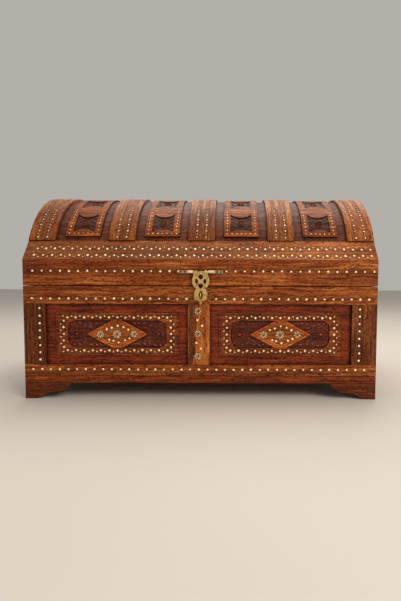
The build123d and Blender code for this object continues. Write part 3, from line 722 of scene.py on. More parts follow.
@dataclass(frozen=True)
class Brass:
    """Brass that air and hands have coloured: bright where it is rubbed, brown in its corners."""

    name: str
    bright: str  # colour of the rubbed metal
    dull: str  # colour of the tarnish
    roughness: float  # of the rubbed metal
    mottle: float  # size of the tarnish's patches
    tarnish: float  # share of the metal that is tarnished, from 0 to 1
    pits: float  # height of the casting's unevenness
    crevice: float  # reach of the dirt in corners
    metal: float = 1.0  # share of the look that mirrors; the rest scatters, as pale wear and, where it is large, as a painted glint that keeps the brass bright from every side
    edge: float = 0.5  # radius of its worn edges
    rubbed: Pair | None = None  # middle and reach, along X, of a stretch that the hasp's turning keeps bright
    crown_dimmed: Pair | None = None  # heights between which it dims more and more, to fade into the painted sheen at the crown

    corner = (0.3, 0.85, 0.55, 0.0)  # share of open sky in a corner and out of it, then the dirt there
    grit_scale = 2.2
    crown_dimness = 0.9  # dullness at the top of those heights
    aged = 0.75  # dullness beside the rubbed stretch

    def tarnished(self, tree: Tree, place: Socket) -> Socket:
        """Adds the nodes that say how dull the metal is.

        Args:
            tree: Node tree of the finish.
            place: The place in millimetres.

        Returns:
            Dullness from 0 to 1.
        """
        patches = add(tree, "TexNoise", {"Vector": place, "Scale": 1 / self.mottle, "Detail": 4.0,
                                         "Roughness": 0.6})
        open_share = add(tree, "AmbientOcclusion", {"Distance": self.crevice * MM}, "AO", samples=6)
        corner = add(tree, "MapRange", (open_share, *self.corner))
        spots = add(tree, "MapRange", (patches, 0.62 - 0.3 * self.tarnish, 0.85 - 0.3 * self.tarnish))
        dull = add(tree, "Math ADD", (spots, corner), use_clamp=True)
        x, _, z = add(tree, "SeparateXYZ", (place,)).node.outputs
        # Painted sheen: the pins dim towards the crown, to fade into the paler wood there
        if self.crown_dimmed:
            crown_dimness = add(tree, "MapRange", (z, *self.crown_dimmed, 0.0, self.crown_dimness))
            dull = add(tree, "Math ADD", (dull, crown_dimness), use_clamp=True)
        if self.rubbed:
            middle, reach = self.rubbed
            aged = add(tree, "MapRange", (away(tree, x, middle), reach, reach + 1.5, 0.0, self.aged))
            share = add(tree, "Math MULTIPLY", (dull, 0.5))
            dull = add(tree, "Math ADD", (share, aged), use_clamp=True)
        return dull

    def build(self) -> Finish:
        """Makes the material.

        Returns:
            The material.
        """
        material, tree = new_tree(self.name)
        place = add(tree, "VectorMath SCALE", (add(tree, "TexCoord", out="Object"), 1 / MM))
        dull = self.tarnished(tree, place)
        colour = add(tree, "Mix", (dull, linear(self.bright), linear(self.dull)))
        rough = add(tree, "MapRange", (dull, 0.0, 1.0, self.roughness, self.roughness + 0.25))
        grit = add(tree, "TexNoise", {"Vector": place, "Scale": self.grit_scale, "Detail": 3.0})
        rounded = add(tree, "Bevel", {"Radius": self.edge * MM}, samples=4)
        bump = add(tree, "Bump", {"Strength": 1.0, "Distance": self.pits * MM, "Height": grit,
                                  "Normal": rounded})
        shader = add(tree, "BsdfPrincipled", {"Base Color": colour, "Metallic": self.metal,
                                              "Roughness": rough, "Normal": bump})
        add(tree, "OutputMaterial", (shader,))
        return material


# ---- motifs, each modelled once
def pick_faces(piece: Piece, wanted: Callable[[Vector, Vector], bool]) -> None:
    """Selects only those faces of the piece in edit mode whose middle and normal are wanted.

    Args:
        piece: Piece in edit mode.
        wanted: Says whether a face with this middle and normal is wanted.
    """
    bpy.ops.mesh.select_mode(type="FACE")
    shape = bmesh.from_edit_mesh(piece.data)
    for face in shape.faces:
        face.select_set(False)
    for face in shape.faces:
        if wanted(face.calc_center_median(), face.normal):
            face.select_set(True)
    shape.select_flush_mode()
    bmesh.update_edit_mesh(piece.data)


def pick_points(piece: Piece, wanted: Callable[[Vector], bool]) -> None:
    """Selects only those points of the piece in edit mode whose place is wanted.

    Args:
        piece: Piece in edit mode.
        wanted: Says whether a point at this place is wanted.
    """
    bpy.ops.mesh.select_mode(type="VERT")
    shape = bmesh.from_edit_mesh(piece.data)
    for point in shape.verts:
        point.select_set(wanted(point.co))
    shape.select_flush_mode()
    bmesh.update_edit_mesh(piece.data)


def resize(x: float, y: float, z: float, middle: Vector | Triple = (0, 0, 0)) -> None:
    """Scales what is selected about a middle."""
    bpy.ops.transform.resize(value=(x, y, z), center_override=middle)


def extrude(way: Vector | Triple) -> None:
    """Extrudes what is selected."""
    bpy.ops.mesh.extrude_region_move(TRANSFORM_OT_translate={"value": way})


def start_motif(name: str, primitive: Callable[..., set[str]], **settings) -> Piece:
    """Adds a primitive, names it and opens it in edit mode with all of it selected.

    Args:
        name: Name of the motif.
        primitive: Operator that adds the primitive.
        settings: Its settings.

    Returns:
        The motif.
    """
    bpy.ops.object.select_all(action="DESELECT")
    primitive(**settings)
    motif = bpy.context.active_object
    motif.name = motif.data.name = name
    bpy.ops.object.mode_set(mode="EDIT")
    bpy.ops.mesh.select_mode(type="FACE")
    bpy.ops.mesh.select_all(action="SELECT")
    return motif


def close_motif(motif: Piece, angle: float) -> Piece:
    """Leaves edit mode and smooths the motif over angles up to the given one.

    Args:
        motif: The motif.
        angle: Largest angle between faces that look smooth.

    Returns:
        The same motif.
    """
    bpy.ops.mesh.select_all(action="SELECT")
    bpy.ops.mesh.normals_make_consistent(inside=False)
    bpy.ops.object.mode_set(mode="OBJECT")
    bpy.ops.object.transform_apply(location=True, rotation=True, scale=True)
    bpy.ops.object.shade_smooth_by_angle(angle=math.radians(angle))
    bpy.ops.object.select_all(action="DESELECT")
    return motif


@dataclass
class Motifs:
    """The small shapes that the inlay and the carving repeat, each modelled flat about the origin."""

    pin_radius: float = 1.9
    pin_rise: float = 0.6  # of a pin's dome
    skirt: float = 0.6  # how far each brass piece goes into the wood
    sliver: Pair = (1.2, 5.4)  # width and length of a strip in an inlaid flower
    flower_radius: float = 6.8  # to the outer ends of its strips
    relief: float = 1.5  # height of the carving
    shapes: dict[str, Piece] = field(default_factory=dict)

    def build(self) -> None:
        """Models every motif."""
        for make in (self.pin, self.strip, self.petal, self.leaf, self.button, self.ring):
            self.shapes[make.__name__] = make()

    def pin(self) -> Piece:
        """Domed head of a brass pin.

        Returns:
            The motif.
        """
        low_rise = 0.3 * self.pin_rise
        motif = start_motif("pin_motif", bpy.ops.mesh.primitive_cylinder_add, vertices=10,
                            radius=self.pin_radius * MM, depth=(self.skirt + low_rise) * MM,
                            location=(0, 0, (low_rise - self.skirt) / 2 * MM))
        pick_faces(motif, lambda middle, normal: normal.z > 0.9)
        for shrink, rise in ((0.8, 0.4), (0.55, 0.3)):
            extrude((0, 0, rise * self.pin_rise * MM))
            resize(shrink, shrink, 1)
        return close_motif(motif, 60)

    def strip(self) -> Piece:
        """Strip of brass hammered into the wood, pointed at its inner end; it lies along v.

        Returns:
            The motif.
        """
        width, length = self.sliver
        motif = start_motif("strip_motif", bpy.ops.mesh.primitive_cylinder_add, vertices=6, radius=0.5 * MM,
                            depth=self.skirt * 1.5 * MM, location=(0, 0, -self.skirt * 0.25 * MM))
        resize(width, length, 1)
        pick_points(motif, lambda at: at.y < -0.2 * length * MM)
        resize(0.5, 1, 1)
        pick_faces(motif, lambda middle, normal: normal.z > 0.9)
        extrude((0, 0, 0.15 * MM))
        resize(0.7, 0.9, 1)
        return close_motif(motif, 40)

    def petal(self) -> Piece:
        """Carved petal with a gouged midrib: it points along v, its root at the origin.

        Returns:
            The motif.
        """
        half_width, half_length = 1.75, 2.9
        motif = start_motif("petal_motif", bpy.ops.mesh.primitive_uv_sphere_add, segments=10, ring_count=6,
                            radius=MM)
        resize(half_width, half_length, self.relief)
        bpy.ops.transform.translate(value=(0, half_length * MM, 0))
        pick_points(motif, lambda at: at.y < 2.2 * MM)
        resize(0.72, 1, 1)
        pick_points(motif, lambda at: abs(at.x) < 0.3 * MM and at.z > 0.5 * self.relief * MM)
        bpy.ops.transform.translate(value=(0, 0, -0.55 * self.relief * MM))
        return close_motif(motif, 50)

    def leaf(self) -> Piece:
        """Curled leaf: it starts at the origin along v and bends to the right as its tip thins.

        Returns:
            The motif.
        """
        motif = start_motif("leaf_motif", bpy.ops.mesh.primitive_circle_add, vertices=6, radius=0.55 * MM,
                            fill_type="NGON", rotation=(math.pi / 2, 0, 0))
        at = Vector((0, 0, 0))
        first_stride, shrink, bend = 1.35 * MM, 0.93, math.radians(15)
        for index, width in enumerate((1.9, 1.45, 1.1, 0.8, 0.65, 0.45, 0.3)):
            way = first_stride * shrink ** index * Vector((math.sin(index * bend), math.cos(index * bend), 0))
            at += way
            extrude(way)
            bpy.ops.transform.rotate(value=bend, orient_axis="Z", center_override=at)
            resize(width, width, width, at)
        return close_motif(motif, 55)

    def button(self) -> Piece:
        """Round boss in the middle of a rosette.

        Returns:
            The motif.
        """
        motif = start_motif("button_motif", bpy.ops.mesh.primitive_uv_sphere_add, segments=12, ring_count=6,
                            radius=MM)
        resize(2.1, 2.1, 1.15 * self.relief)
        pick_points(motif, lambda at: at.z > 1.1 * self.relief * MM)
        bpy.ops.transform.translate(value=(0, 0, -0.5 * self.relief * MM))
        return close_motif(motif, 60)

    def ring(self) -> Piece:
        """Rounded ring about a rosette.

        Returns:
            The motif.
        """
        motif = start_motif("ring_motif", bpy.ops.mesh.primitive_torus_add, major_segments=28,
                            minor_segments=6, major_radius=9.4 * MM, minor_radius=0.62 * MM)
        resize(1, 1, 1.5)
        return close_motif(motif, 60)

    def clear(self) -> None:
        """Deletes the motifs once all copies are made."""
        for motif in self.shapes.values():
            bpy.data.objects.remove(motif)


@dataclass
class Mosaic:
    """Copies of motifs on one face, joined into one piece."""

    name: str
    body: str  # that the piece rides on
    slot: str  # of the record's materials
    face: Face
    motifs: Motifs
    chance: random.Random  # for the handwork's unevenness
    copies: list[Piece] = field(default_factory=list)

    def add(self, shape: str, u: float, v: float, turn: float = 0.0, size: float = 1.0) -> None:
        """Copies one motif to a place on the face.

        Args:
            shape: Name of the motif.
            u: Place along the face.
            v: Place up the face.
            turn: Angle anticlockwise.
            size: Scale.
        """
        copy = bpy.data.objects.new(f"{self.name}_{len(self.copies)}", self.motifs.shapes[shape].data.copy())
        copy.data.transform(self.face.place(u, v, turn, size))
        bpy.context.scene.collection.objects.link(copy)
        self.copies.append(copy)

    def add_round(self, shape: str, u: float, v: float, root: float, angle: float, size: float) -> None:
        """Copies one motif so that it points away from a middle.

        Args:
            shape: Name of the motif.
            u: The middle along the face.
            v: The middle up the face.
            root: From the middle to the motif's own.
            angle: Direction from straight up, anticlockwise.
            size: Scale.
        """
        shift = Matrix.Rotation(math.radians(angle), 2) @ Vector((0, root))
        self.add(shape, u + shift.x, v + shift.y, angle, size)

    def pin(self, u: float, v: float, radius: float, stray: float = 0.35) -> None:
        """Sets one pin, at most the stray off its mark each way, and a little off its size.

        Args:
            u: Place along the face.
            v: Place up the face.
            radius: Radius of the head.
            stray: Farthest that it may stand off its place each way.
        """
        size = radius / self.motifs.pin_radius * self.chance.uniform(0.84, 1.08)
        self.add("pin", u + self.chance.uniform(-stray, stray), v + self.chance.uniform(-stray, stray),
                 self.chance.uniform(0, 36), size)

    def row(self, start: Pair, end: Pair, count: int, radius: float) -> None:
        """Sets evenly spaced pins from one place (u, v) to another.

        Args:
            start: Place of the first pin.
            end: Place of the last pin.
            count: Number of pins.
            radius: Radius of their heads.
        """
        for index in range(count):
            share = index / max(count - 1, 1)
            self.pin(start[0] + share * (end[0] - start[0]), start[1] + share * (end[1] - start[1]), radius)

    def flower(self, u: float, v: float, size: float = 1.0) -> None:
        """Sets a flower of ten brass strips.

        Args:
            u: Its middle along the face.
            v: Its middle up the face.
            size: Scale.
        """
        middle = (self.motifs.flower_radius - self.motifs.sliver[1] / 2) * size
        for angle in range(0, 360, 36):
            turn = angle + self.chance.uniform(-5, 5)
            self.add_round("strip", u, v, middle, turn, size * self.chance.uniform(0.88, 1.08))

    def rosette(self, u: float, v: float, boss: float, rings: tuple[float, ...], root: float,
                size: float) -> None:
        """Sets a carved rosette.

        Args:
            u: Its middle along the face.
            v: Its middle up the face.
            boss: Scale of its boss.
            rings: Scale of each ring.
            root: From its middle to the petals' roots.
            size: Scale of the petals.
        """
        self.add("button", u, v, 0, boss)
        for ring in rings:
            self.add("ring", u, v, 0, ring)
        for angle in range(0, 360, 45):
            self.add_round("petal", u, v, root, angle, size)

    def leaves(self, u: float, v: float, side: int, quarter: tuple[Quad, ...]) -> None:
        """Sets leaves below and above a middle, on one side of it.

        Args:
            u: The middle along the face.
            v: The middle up the face.
            side: Side that they go to, -1 or 1.
            quarter: Place, turn and size of each leaf in the upper right quarter.
        """
        for lift in (-1, 1):
            for x, z, turn, size in quarter:
                mirrored = turn if side * lift > 0 else -turn
                self.add("leaf", u + side * x, v + lift * z, mirrored if lift > 0 else 180 + mirrored, size)

    def join(self, material: Finish) -> None:
        """Joins the copies, dresses the piece and hangs it on its body.

        Args:
            material: Finish of the piece.
        """
        bpy.ops.object.select_all(action="DESELECT")
        for copy in self.copies:
            copy.select_set(True)
        bpy.context.view_layer.objects.active = self.copies[0]
        bpy.ops.object.join()
        piece = bpy.context.active_object
        piece.name = piece.data.name = self.name
        piece.data.materials.clear()
        piece.data.materials.append(material)
        bpy.ops.object.select_all(action="DESELECT")
        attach(piece, self.body)
        LOG.info("%s: %d shapes", self.name, len(self.copies))


# ---- sub-assemblies
@dataclass
class Workshop:
    """What the sub-assemblies share."""

    motifs: Motifs
    inlay: Finish  # of the brass pins
    wear_and_sheen: Finish  # of the pins on the barrel: dull brass, dimmed towards the crown to fade into the painted sheen there
    strips: Finish  # of the flowers, filed flat with the wood
    chance: random.Random

    def mosaic(self, name: str, body: str, slot: str, face: Face) -> Mosaic:
        """Starts a piece made of motifs."""
        return Mosaic(name, body, slot, face, self.motifs, self.chance)

    def set_rows(self, name: str, body: str, face: Face, rows: list[tuple], wear_and_sheen: bool = False) -> None:
        """Makes one piece of several rows of pins.

        Args:
            name: Name of the piece.
            body: Body that it rides on.
            face: Face that takes the pins.
            rows: First and last place, number and radius of the pins in each row.
            wear_and_sheen: Whether the pins take the barrel's dull brass, which dims towards the crown under
                the painted sheen.
        """
        pins = self.mosaic(name, body, "hasp_brass", face)
        for row in rows:
            pins.row(*row)
        pins.join(self.wear_and_sheen if wear_and_sheen else self.inlay)


def hasp_ground(level: float, runs: tuple[Pair, ...], count: int, half_width: float) -> tuple[Cut, ...]:
    """Worked ground of a rail's two rows of pins, left and right of the hasp.

    Args:
        level: Height of the rows.
        runs: First and last pin of each row, along the face.
        count: Number of pins in a row.
        half_width: From the rows to the ground's edge.

    Returns:
        The ground of each row.
    """
    pitch = (runs[0][1] - runs[0][0]) / (count - 1)
    past = 9.0  # how far the ground goes on past the last pin
    return tuple(PinRowCut(level, start, pitch, half_width, limit=(start - past, end + past))
                 for start, end in runs)


@dataclass
class CaseFrame:
    """Rails, posts and stiles of the case, with the front's inlay. A run is a row's first and last pin."""

    shop: Workshop
    pin_radius: float = 1.95
    top_level: float = 171.7
    top_runs: tuple[Pair, ...] = ((-285.4, -23.6), (26.4, 286.3))
    top_count: int = 18
    bottom_level: float = 50.6
    bottom_run: Pair = (-285.4, 279.7)
    bottom_count: int = 39
    post_run: Pair = (154.9, 66.9)
    post_count: int = 8
    post_places: Pair = (-273.2, 270.4)
    centre_flowers: tuple[Pair, ...] = ((-4.0, 151.2), (-4.0, 112.3), (-4.0, 74.0))
    centre_pins: tuple[Pair, ...] = ((-5.4, 135.8), (2.6, 126.0), (-7.0, 96.6), (0.9, 87.0))

    def build(self) -> None:
        """Dresses the boards and sets the inlay."""
        self.dress_front()
        self.dress_hidden()
        self.inlay()

    def dress_front(self) -> None:
        """Finishes of the front's rails and posts, engraved round their inlay."""
        cuts = hasp_ground(self.top_level, self.top_runs, self.top_count, 5.2)
        Rosewood(Grain.SIDEWAYS, FRAME_TONE, (40, 10, 0), cuts=cuts).dress("front_top_rail")
        pitch = (self.bottom_run[1] - self.bottom_run[0]) / (self.bottom_count - 1)
        cut = PinRowCut(self.bottom_level - 4.0, self.bottom_run[0], pitch)
        Rosewood(Grain.SIDEWAYS, FRAME_TONE, (900, 40, 0), cuts=(cut,)).dress("front_bottom_rail")
        pitch = (self.post_run[0] - self.post_run[1]) / (self.post_count - 1)
        for side, place, tone, plot in (("left", self.post_places[0], SHADED_TONE, (0, 70, 30)),
                                        ("right", self.post_places[1], POST_TONE, (300, 310, 30))):
            cut = PinRowCut(place, self.post_run[1], pitch, 4.2, upright=True)
            Rosewood(Grain.UPRIGHT, tone, plot, cuts=(cut,), figure=0.8).dress(f"front_{side}_post")
        low, high = node_box("front_centre_post")
        middle = (low.x + high.x) / 2
        streak = (Step("x", middle - 10, middle - 2, GOLDEN_TONE),
                  Step("x", middle + 8, middle + 14, FRAME_TONE))
        Rosewood(Grain.UPRIGHT, POST_TONE, (520, -12, 44), streak, figure=1.0,
                 cuts=tuple(DiscCut(at) for at in self.centre_flowers)).dress("front_centre_post")

    def dress_hidden(self) -> None:
        """Finishes of the back and ends, which have no inlay."""
        boards = [(f"back_{rail}_rail", Grain.SIDEWAYS, 20, 0.5) for rail in ("top", "bottom")]
        boards += [(f"back_{post}_post", Grain.UPRIGHT, 35, 0.8) for post in ("left", "centre", "right")]
        for side in ("left", "right"):
            boards += [(f"{side}_end_top_rail", Grain.FRONT_TO_BACK, 15, 0.5),
                       (f"{side}_end_bottom_rail", Grain.FRONT_TO_BACK, 15, 0.5),
                       (f"{side}_end_stiles", Grain.UPRIGHT, 25, 0.5)]
        for index, (name, grain, across, figure) in enumerate(boards):
            Rosewood(grain, FRAME_TONE, (270.0 + 170 * index, across, 0), figure=figure).dress(name)

    def inlay(self) -> None:
        """Pins of the rails and posts, and the flowers of the centre post."""
        face = WallFace(node_box("front_top_rail")[0].y)
        (first, last), (top, bottom), level = self.bottom_run, self.post_run, self.top_level
        pieces = {
            "top_rail": [((start, level), (end, level), self.top_count) for start, end in self.top_runs],
            "bottom_rail": [((first, self.bottom_level), (last, self.bottom_level), self.bottom_count)],
        }
        for side, u in zip(("left", "right"), self.post_places):
            pieces[f"{side}_post"] = [((u, top), (u, bottom), self.post_count)]
        for name, rows in pieces.items():
            self.shop.set_rows(f"front_{name}_pins", "case", face, [(*row, self.pin_radius) for row in rows])
        flowers = self.shop.mosaic("front_centre_post_inlay", "case", "hasp_brass", face)
        for u, v in self.centre_flowers:
            flowers.flower(u, v)
        for u, v in self.centre_pins:
            flowers.pin(u, v, self.pin_radius, 0.1)
        flowers.join(self.shop.strips)


@dataclass
class CarvedPanel:
    """A front panel: raised tablet with a pinned border, carved field and inlaid diamond.

    A half is half a width and half a height. Places of pins, flowers and leaves are from the panel's middle.
    """

    shop: Workshop
    side: str  # left or right, as in the node's name
    plot: Triple
    field_sink: float = 2.4  # from the tablet's face to the field's floor
    diamond_rise: float = 0.5
    tablet_half: Pair = (105.4, 36.8)
    diamond_half: Pair = (52.0, 27.0)
    border_half: Pair = (85.2, 28.2)  # length and place of the rows of large pins
    column_half: Pair = (91.6, 22.6)  # place and length of their columns
    border_counts: tuple[int, int] = (13, 5)  # in a row and in a column
    dot_half: Pair = (96.3, 30.6)  # place of the columns and rows of small pins
    dot_counts: tuple[int, int] = (14, 4)
    big_radius: float = 1.95
    small_radius: float = 1.15
    ground: float = 4.4  # half the width of the ground worked round a row
    rosette_place: float = 69.5
    diamond_radius: float = 1.8  # of the diamond's pins
    diamond_pins: tuple[Pair, ...] = (
        (-18.0, 7.8), (-9.5, 10.6), (0.5, 14.1), (10.5, 11.9), (18.9, 7.5),
        (-13.9, -9.7), (-7.0, -11.3), (2.0, -14.7), (13.0, -10.8), (20.8, -7.3))
    diamond_flowers: tuple[Triple, ...] = (  # place and scale
        (-0.6, -0.4, 1.15), (-28.6, -0.3, 0.97), (29.0, 0.0, 0.97))
    leaves: tuple[Quad, ...] = (
        (32, 15.5, 60, 1.1), (39, 17.5, 80, 1.2), (44, 10, -60, 1.0), (49, 18.5, 110, 1.15),
        (54, 12, -30, 1.1), (56, 5.5, 40, 0.9), (61, 18, -80, 1.2), (71, 17.5, -60, 1.1),
        (78, 12.5, -20, 1.1), (80, 4.5, 0, 0.9))

    def build(self) -> None:
        """Dresses the panel, and makes its inlay and carving."""
        low, high = node_box(f"front_{self.side}_panel")
        u, v = (low.x + high.x) / 2, (low.z + high.z) / 2
        tablet = low.y + self.diamond_rise
        self.dress_board(u, v, tablet)
        self.border(u, v, WallFace(tablet))
        inlay = self.shop.mosaic(f"front_{self.side}_diamond_inlay", "case", "hasp_brass", WallFace(low.y))
        for x, z in self.diamond_pins:
            inlay.pin(u + x, v + z, self.diamond_radius, 0.2)
        for x, z, size in self.diamond_flowers:
            inlay.flower(u + x, v + z, size)
        inlay.join(self.shop.strips)
        carving = self.shop.mosaic(f"front_{self.side}_panel_carving", "case", "panel_wood",
                                   WallFace(tablet + self.field_sink))
        for side in (-1, 1):
            carving.rosette(u + side * self.rosette_place, v, 1.5, (1.0, 1.38), 2.6, 1.0)
            carving.leaves(u, v, side, self.leaves)
        relief = Rosewood(Grain.SIDEWAYS, RELIEF_TONE, self.plot, figure=0.3)
        carving.join(relief.build(f"rosewood_front_{self.side}_carving"))

    def dress_board(self, u: float, v: float, tablet: float) -> None:
        """Finish of the panel: red ground, orange tablet and dark field, with scribed lines.

        Args:
            u: Middle of the panel along X.
            v: Its middle along Z.
            tablet: Place of the tablet's face, front to back.
        """
        wide, high = self.tablet_half
        row_pitch = 2 * self.border_half[0] / (self.border_counts[0] - 1)
        column_pitch = 2 * self.column_half[1] / (self.border_counts[1] - 1)
        row_limit = (u - self.dot_half[0], u + self.dot_half[0])
        column_limit = (v - self.column_half[1] - 4, v + self.column_half[1] + 4)
        cuts = [PinRowCut(v + way * (self.border_half[1] + 1), u, row_pitch, self.ground, False, row_limit)
                for way in (-1, 1)]
        cuts += [PinRowCut(u + way * (self.column_half[0] + 1), v, column_pitch, self.ground, True,
                           column_limit) for way in (-1, 1)]
        cuts += [FrameCut((u, v), (wide - 2.4, high - 2.4)), FrameCut((u, v), (wide - 4.2, high - 4.2), 0.35),
                 DiamondCut((u, v), self.diamond_half)]
        cuts += [DiscCut((u + x, v + z), DiscCut.radius * size) for x, z, size in self.diamond_flowers]
        floor = tablet + self.field_sink
        steps = (Step("y", tablet + 1.2, tablet + 0.4, TABLET_TONE),
                 Step("y", tablet - 0.1, tablet - 0.4, DIAMOND_TONE),
                 Step("y", floor - 0.6, floor - 0.1, FIELD_TONE))
        board = Rosewood(Grain.SIDEWAYS, PANEL_TONE, self.plot, steps, cuts=tuple(cuts))
        board.dress(f"front_{self.side}_panel")

    def border(self, u: float, v: float, face: Face) -> None:
        """Large pins round the field, and small ones outside them, about the panel's middle (u, v).

        Args:
            u: The middle along the face.
            v: The middle up the face.
            face: Face that the pins stand on.
        """
        (wide, high), (column, tall) = self.border_half, self.column_half
        dot_column, dot_row = self.dot_half
        half_step = wide / (self.border_counts[0] - 1)
        step = tall / (self.border_counts[1] - 1)
        across = ((wide, high), (wide + half_step, dot_row))  # reach and place of large and small pins
        upright = ((tall, column), (tall - step, dot_column))
        radii = (self.big_radius, self.small_radius)
        rows = []
        for way in (-1, 1):
            for (reach, z), count, radius in zip(across, (self.border_counts[0], self.dot_counts[0]), radii):
                rows.append(((u - reach, v + way * z), (u + reach, v + way * z), count, radius))
            for (reach, x), count, radius in zip(upright, (self.border_counts[1], self.dot_counts[1]), radii):
                rows.append(((u + way * x, v - reach), (u + way * x, v + reach), count, radius))
        self.shop.set_rows(f"front_{self.side}_panel_pins", "case", face, rows)


@dataclass
class PlainPanels:
    """Panels of the back and ends, with a raised tablet and no inlay."""

    def build(self) -> None:
        """Dresses the four panels."""
        for along, side in ((0.0, "left"), (400.0, "right")):
            Rosewood(Grain.SIDEWAYS, PANEL_TONE, (along, 130, 0)).dress(f"back_{side}_panel")
            Rosewood(Grain.FRONT_TO_BACK, PANEL_TONE, (along, 170, 0)).dress(f"{side}_end_panel")


@dataclass
class Base:
    """Base strips, bracket feet and bottom board."""

    strips: tuple[tuple[str, Grain, float], ...] = (  # side, grain and place in the log
        ("front", Grain.SIDEWAYS, 60.0), ("back", Grain.SIDEWAYS, 700.0),
        ("left", Grain.FRONT_TO_BACK, 1300.0), ("right", Grain.FRONT_TO_BACK, 1900.0))
    feet: tuple[tuple[str, Grain, float], ...] = (
        ("front_left", Grain.ROUND_CORNER_LEFT, 2700.0), ("front_right", Grain.ROUND_CORNER_RIGHT, 3000.0),
        ("back_left", Grain.ROUND_CORNER_RIGHT, 3300.0), ("back_right", Grain.ROUND_CORNER_LEFT, 3600.0))

    def build(self) -> None:
        """Dresses the strips, feet and bottom board."""
        for side, grain, along in self.strips:
            Rosewood(grain, BASE_TONE, (along, 90, 0)).dress(f"base_strip_{side}")
        for corner, grain, along in self.feet:
            Rosewood(grain, FOOT_TONE, (along, 50, 0)).dress(f"{corner}_foot")
        Rosewood(Grain.SIDEWAYS, INNER_TONE, sheen=0.6).dress("bottom_board")


@dataclass
class LidFront:
    """Rails, end boards and slanted bands of the lid, with the inlay of the front."""

    shop: Workshop
    pin_radius: float = 1.95
    dot_radius: float = 1.1
    rail_level: float = 218.4
    rail_runs: tuple[Pair, ...] = ((-283.5, -36.6), (43.8, 293.4))  # first and last pin, beside the hasp
    rail_count: int = 17
    band_runs: tuple[Pair, ...] = ((-282.3, 290.5), (-280.7, 290.3))
    band_count: int = 39
    band_rows: Pair = (9.0, 23.6)  # places of the two rows, up the slope
    band_dots: Pair = (5.6, 27.6)  # places of the rows of small pins beside them

    def build(self) -> None:
        """Dresses the boards and sets the inlay."""
        cuts = hasp_ground(self.rail_level, self.rail_runs, self.rail_count, 5.0)
        # Paler to the right, as painted light from the right, and paler towards the bottom
        paler = (Step("x", -190, 20, FRAME_TONE), Step("z", 217, 208, FRAME_TONE))
        Rosewood(Grain.SIDEWAYS, BASE_TONE, (150, 25, 12), paler, cuts=cuts).dress("lid_front_rail")
        Rosewood(Grain.SIDEWAYS, FRAME_TONE, (1200, 25, 12)).dress("lid_back_rail")
        cuts = tuple(PinRowCut(level, start, (end - start) / (self.band_count - 1), 5.6)
                     for level, (start, end) in zip(self.band_rows, self.band_runs))
        # Paler to the right: painted light from the right
        paler = (Step("x", -120, 160, PALE_STRAP_TONE),)
        band = Rosewood(Grain.SIDEWAYS, STRAP_TONE, (500, 80, 0), paler, FaceKind.SLANT, cuts)
        band.dress("lid_front_band")
        Rosewood(Grain.SIDEWAYS, STRAP_TONE, (1700, 80, 0)).dress("lid_back_band")
        for along, name in ((0, "lid_left_end"), (600, "lid_right_end")):
            Rosewood(Grain.FRONT_TO_BACK, FRAME_TONE, (along, 45, 0), figure=0.9).dress(name)
        rows = [((start, self.rail_level), (end, self.rail_level), self.rail_count, self.pin_radius)
                for start, end in self.rail_runs]
        self.shop.set_rows("lid_front_rail_pins", "lid", WallFace(node_box("lid_front_rail")[0].y), rows)
        rows = []
        for level, dots, (start, end) in zip(self.band_rows, self.band_dots, self.band_runs):
            half = (end - start) / (self.band_count - 1) / 2
            rows += [((start, level), (end, level), self.band_count, self.pin_radius),
                     ((start + half, dots), (end - half, dots), self.band_count - 1, self.dot_radius)]
        self.shop.set_rows("lid_front_band_pins", "lid", front_band(), rows)


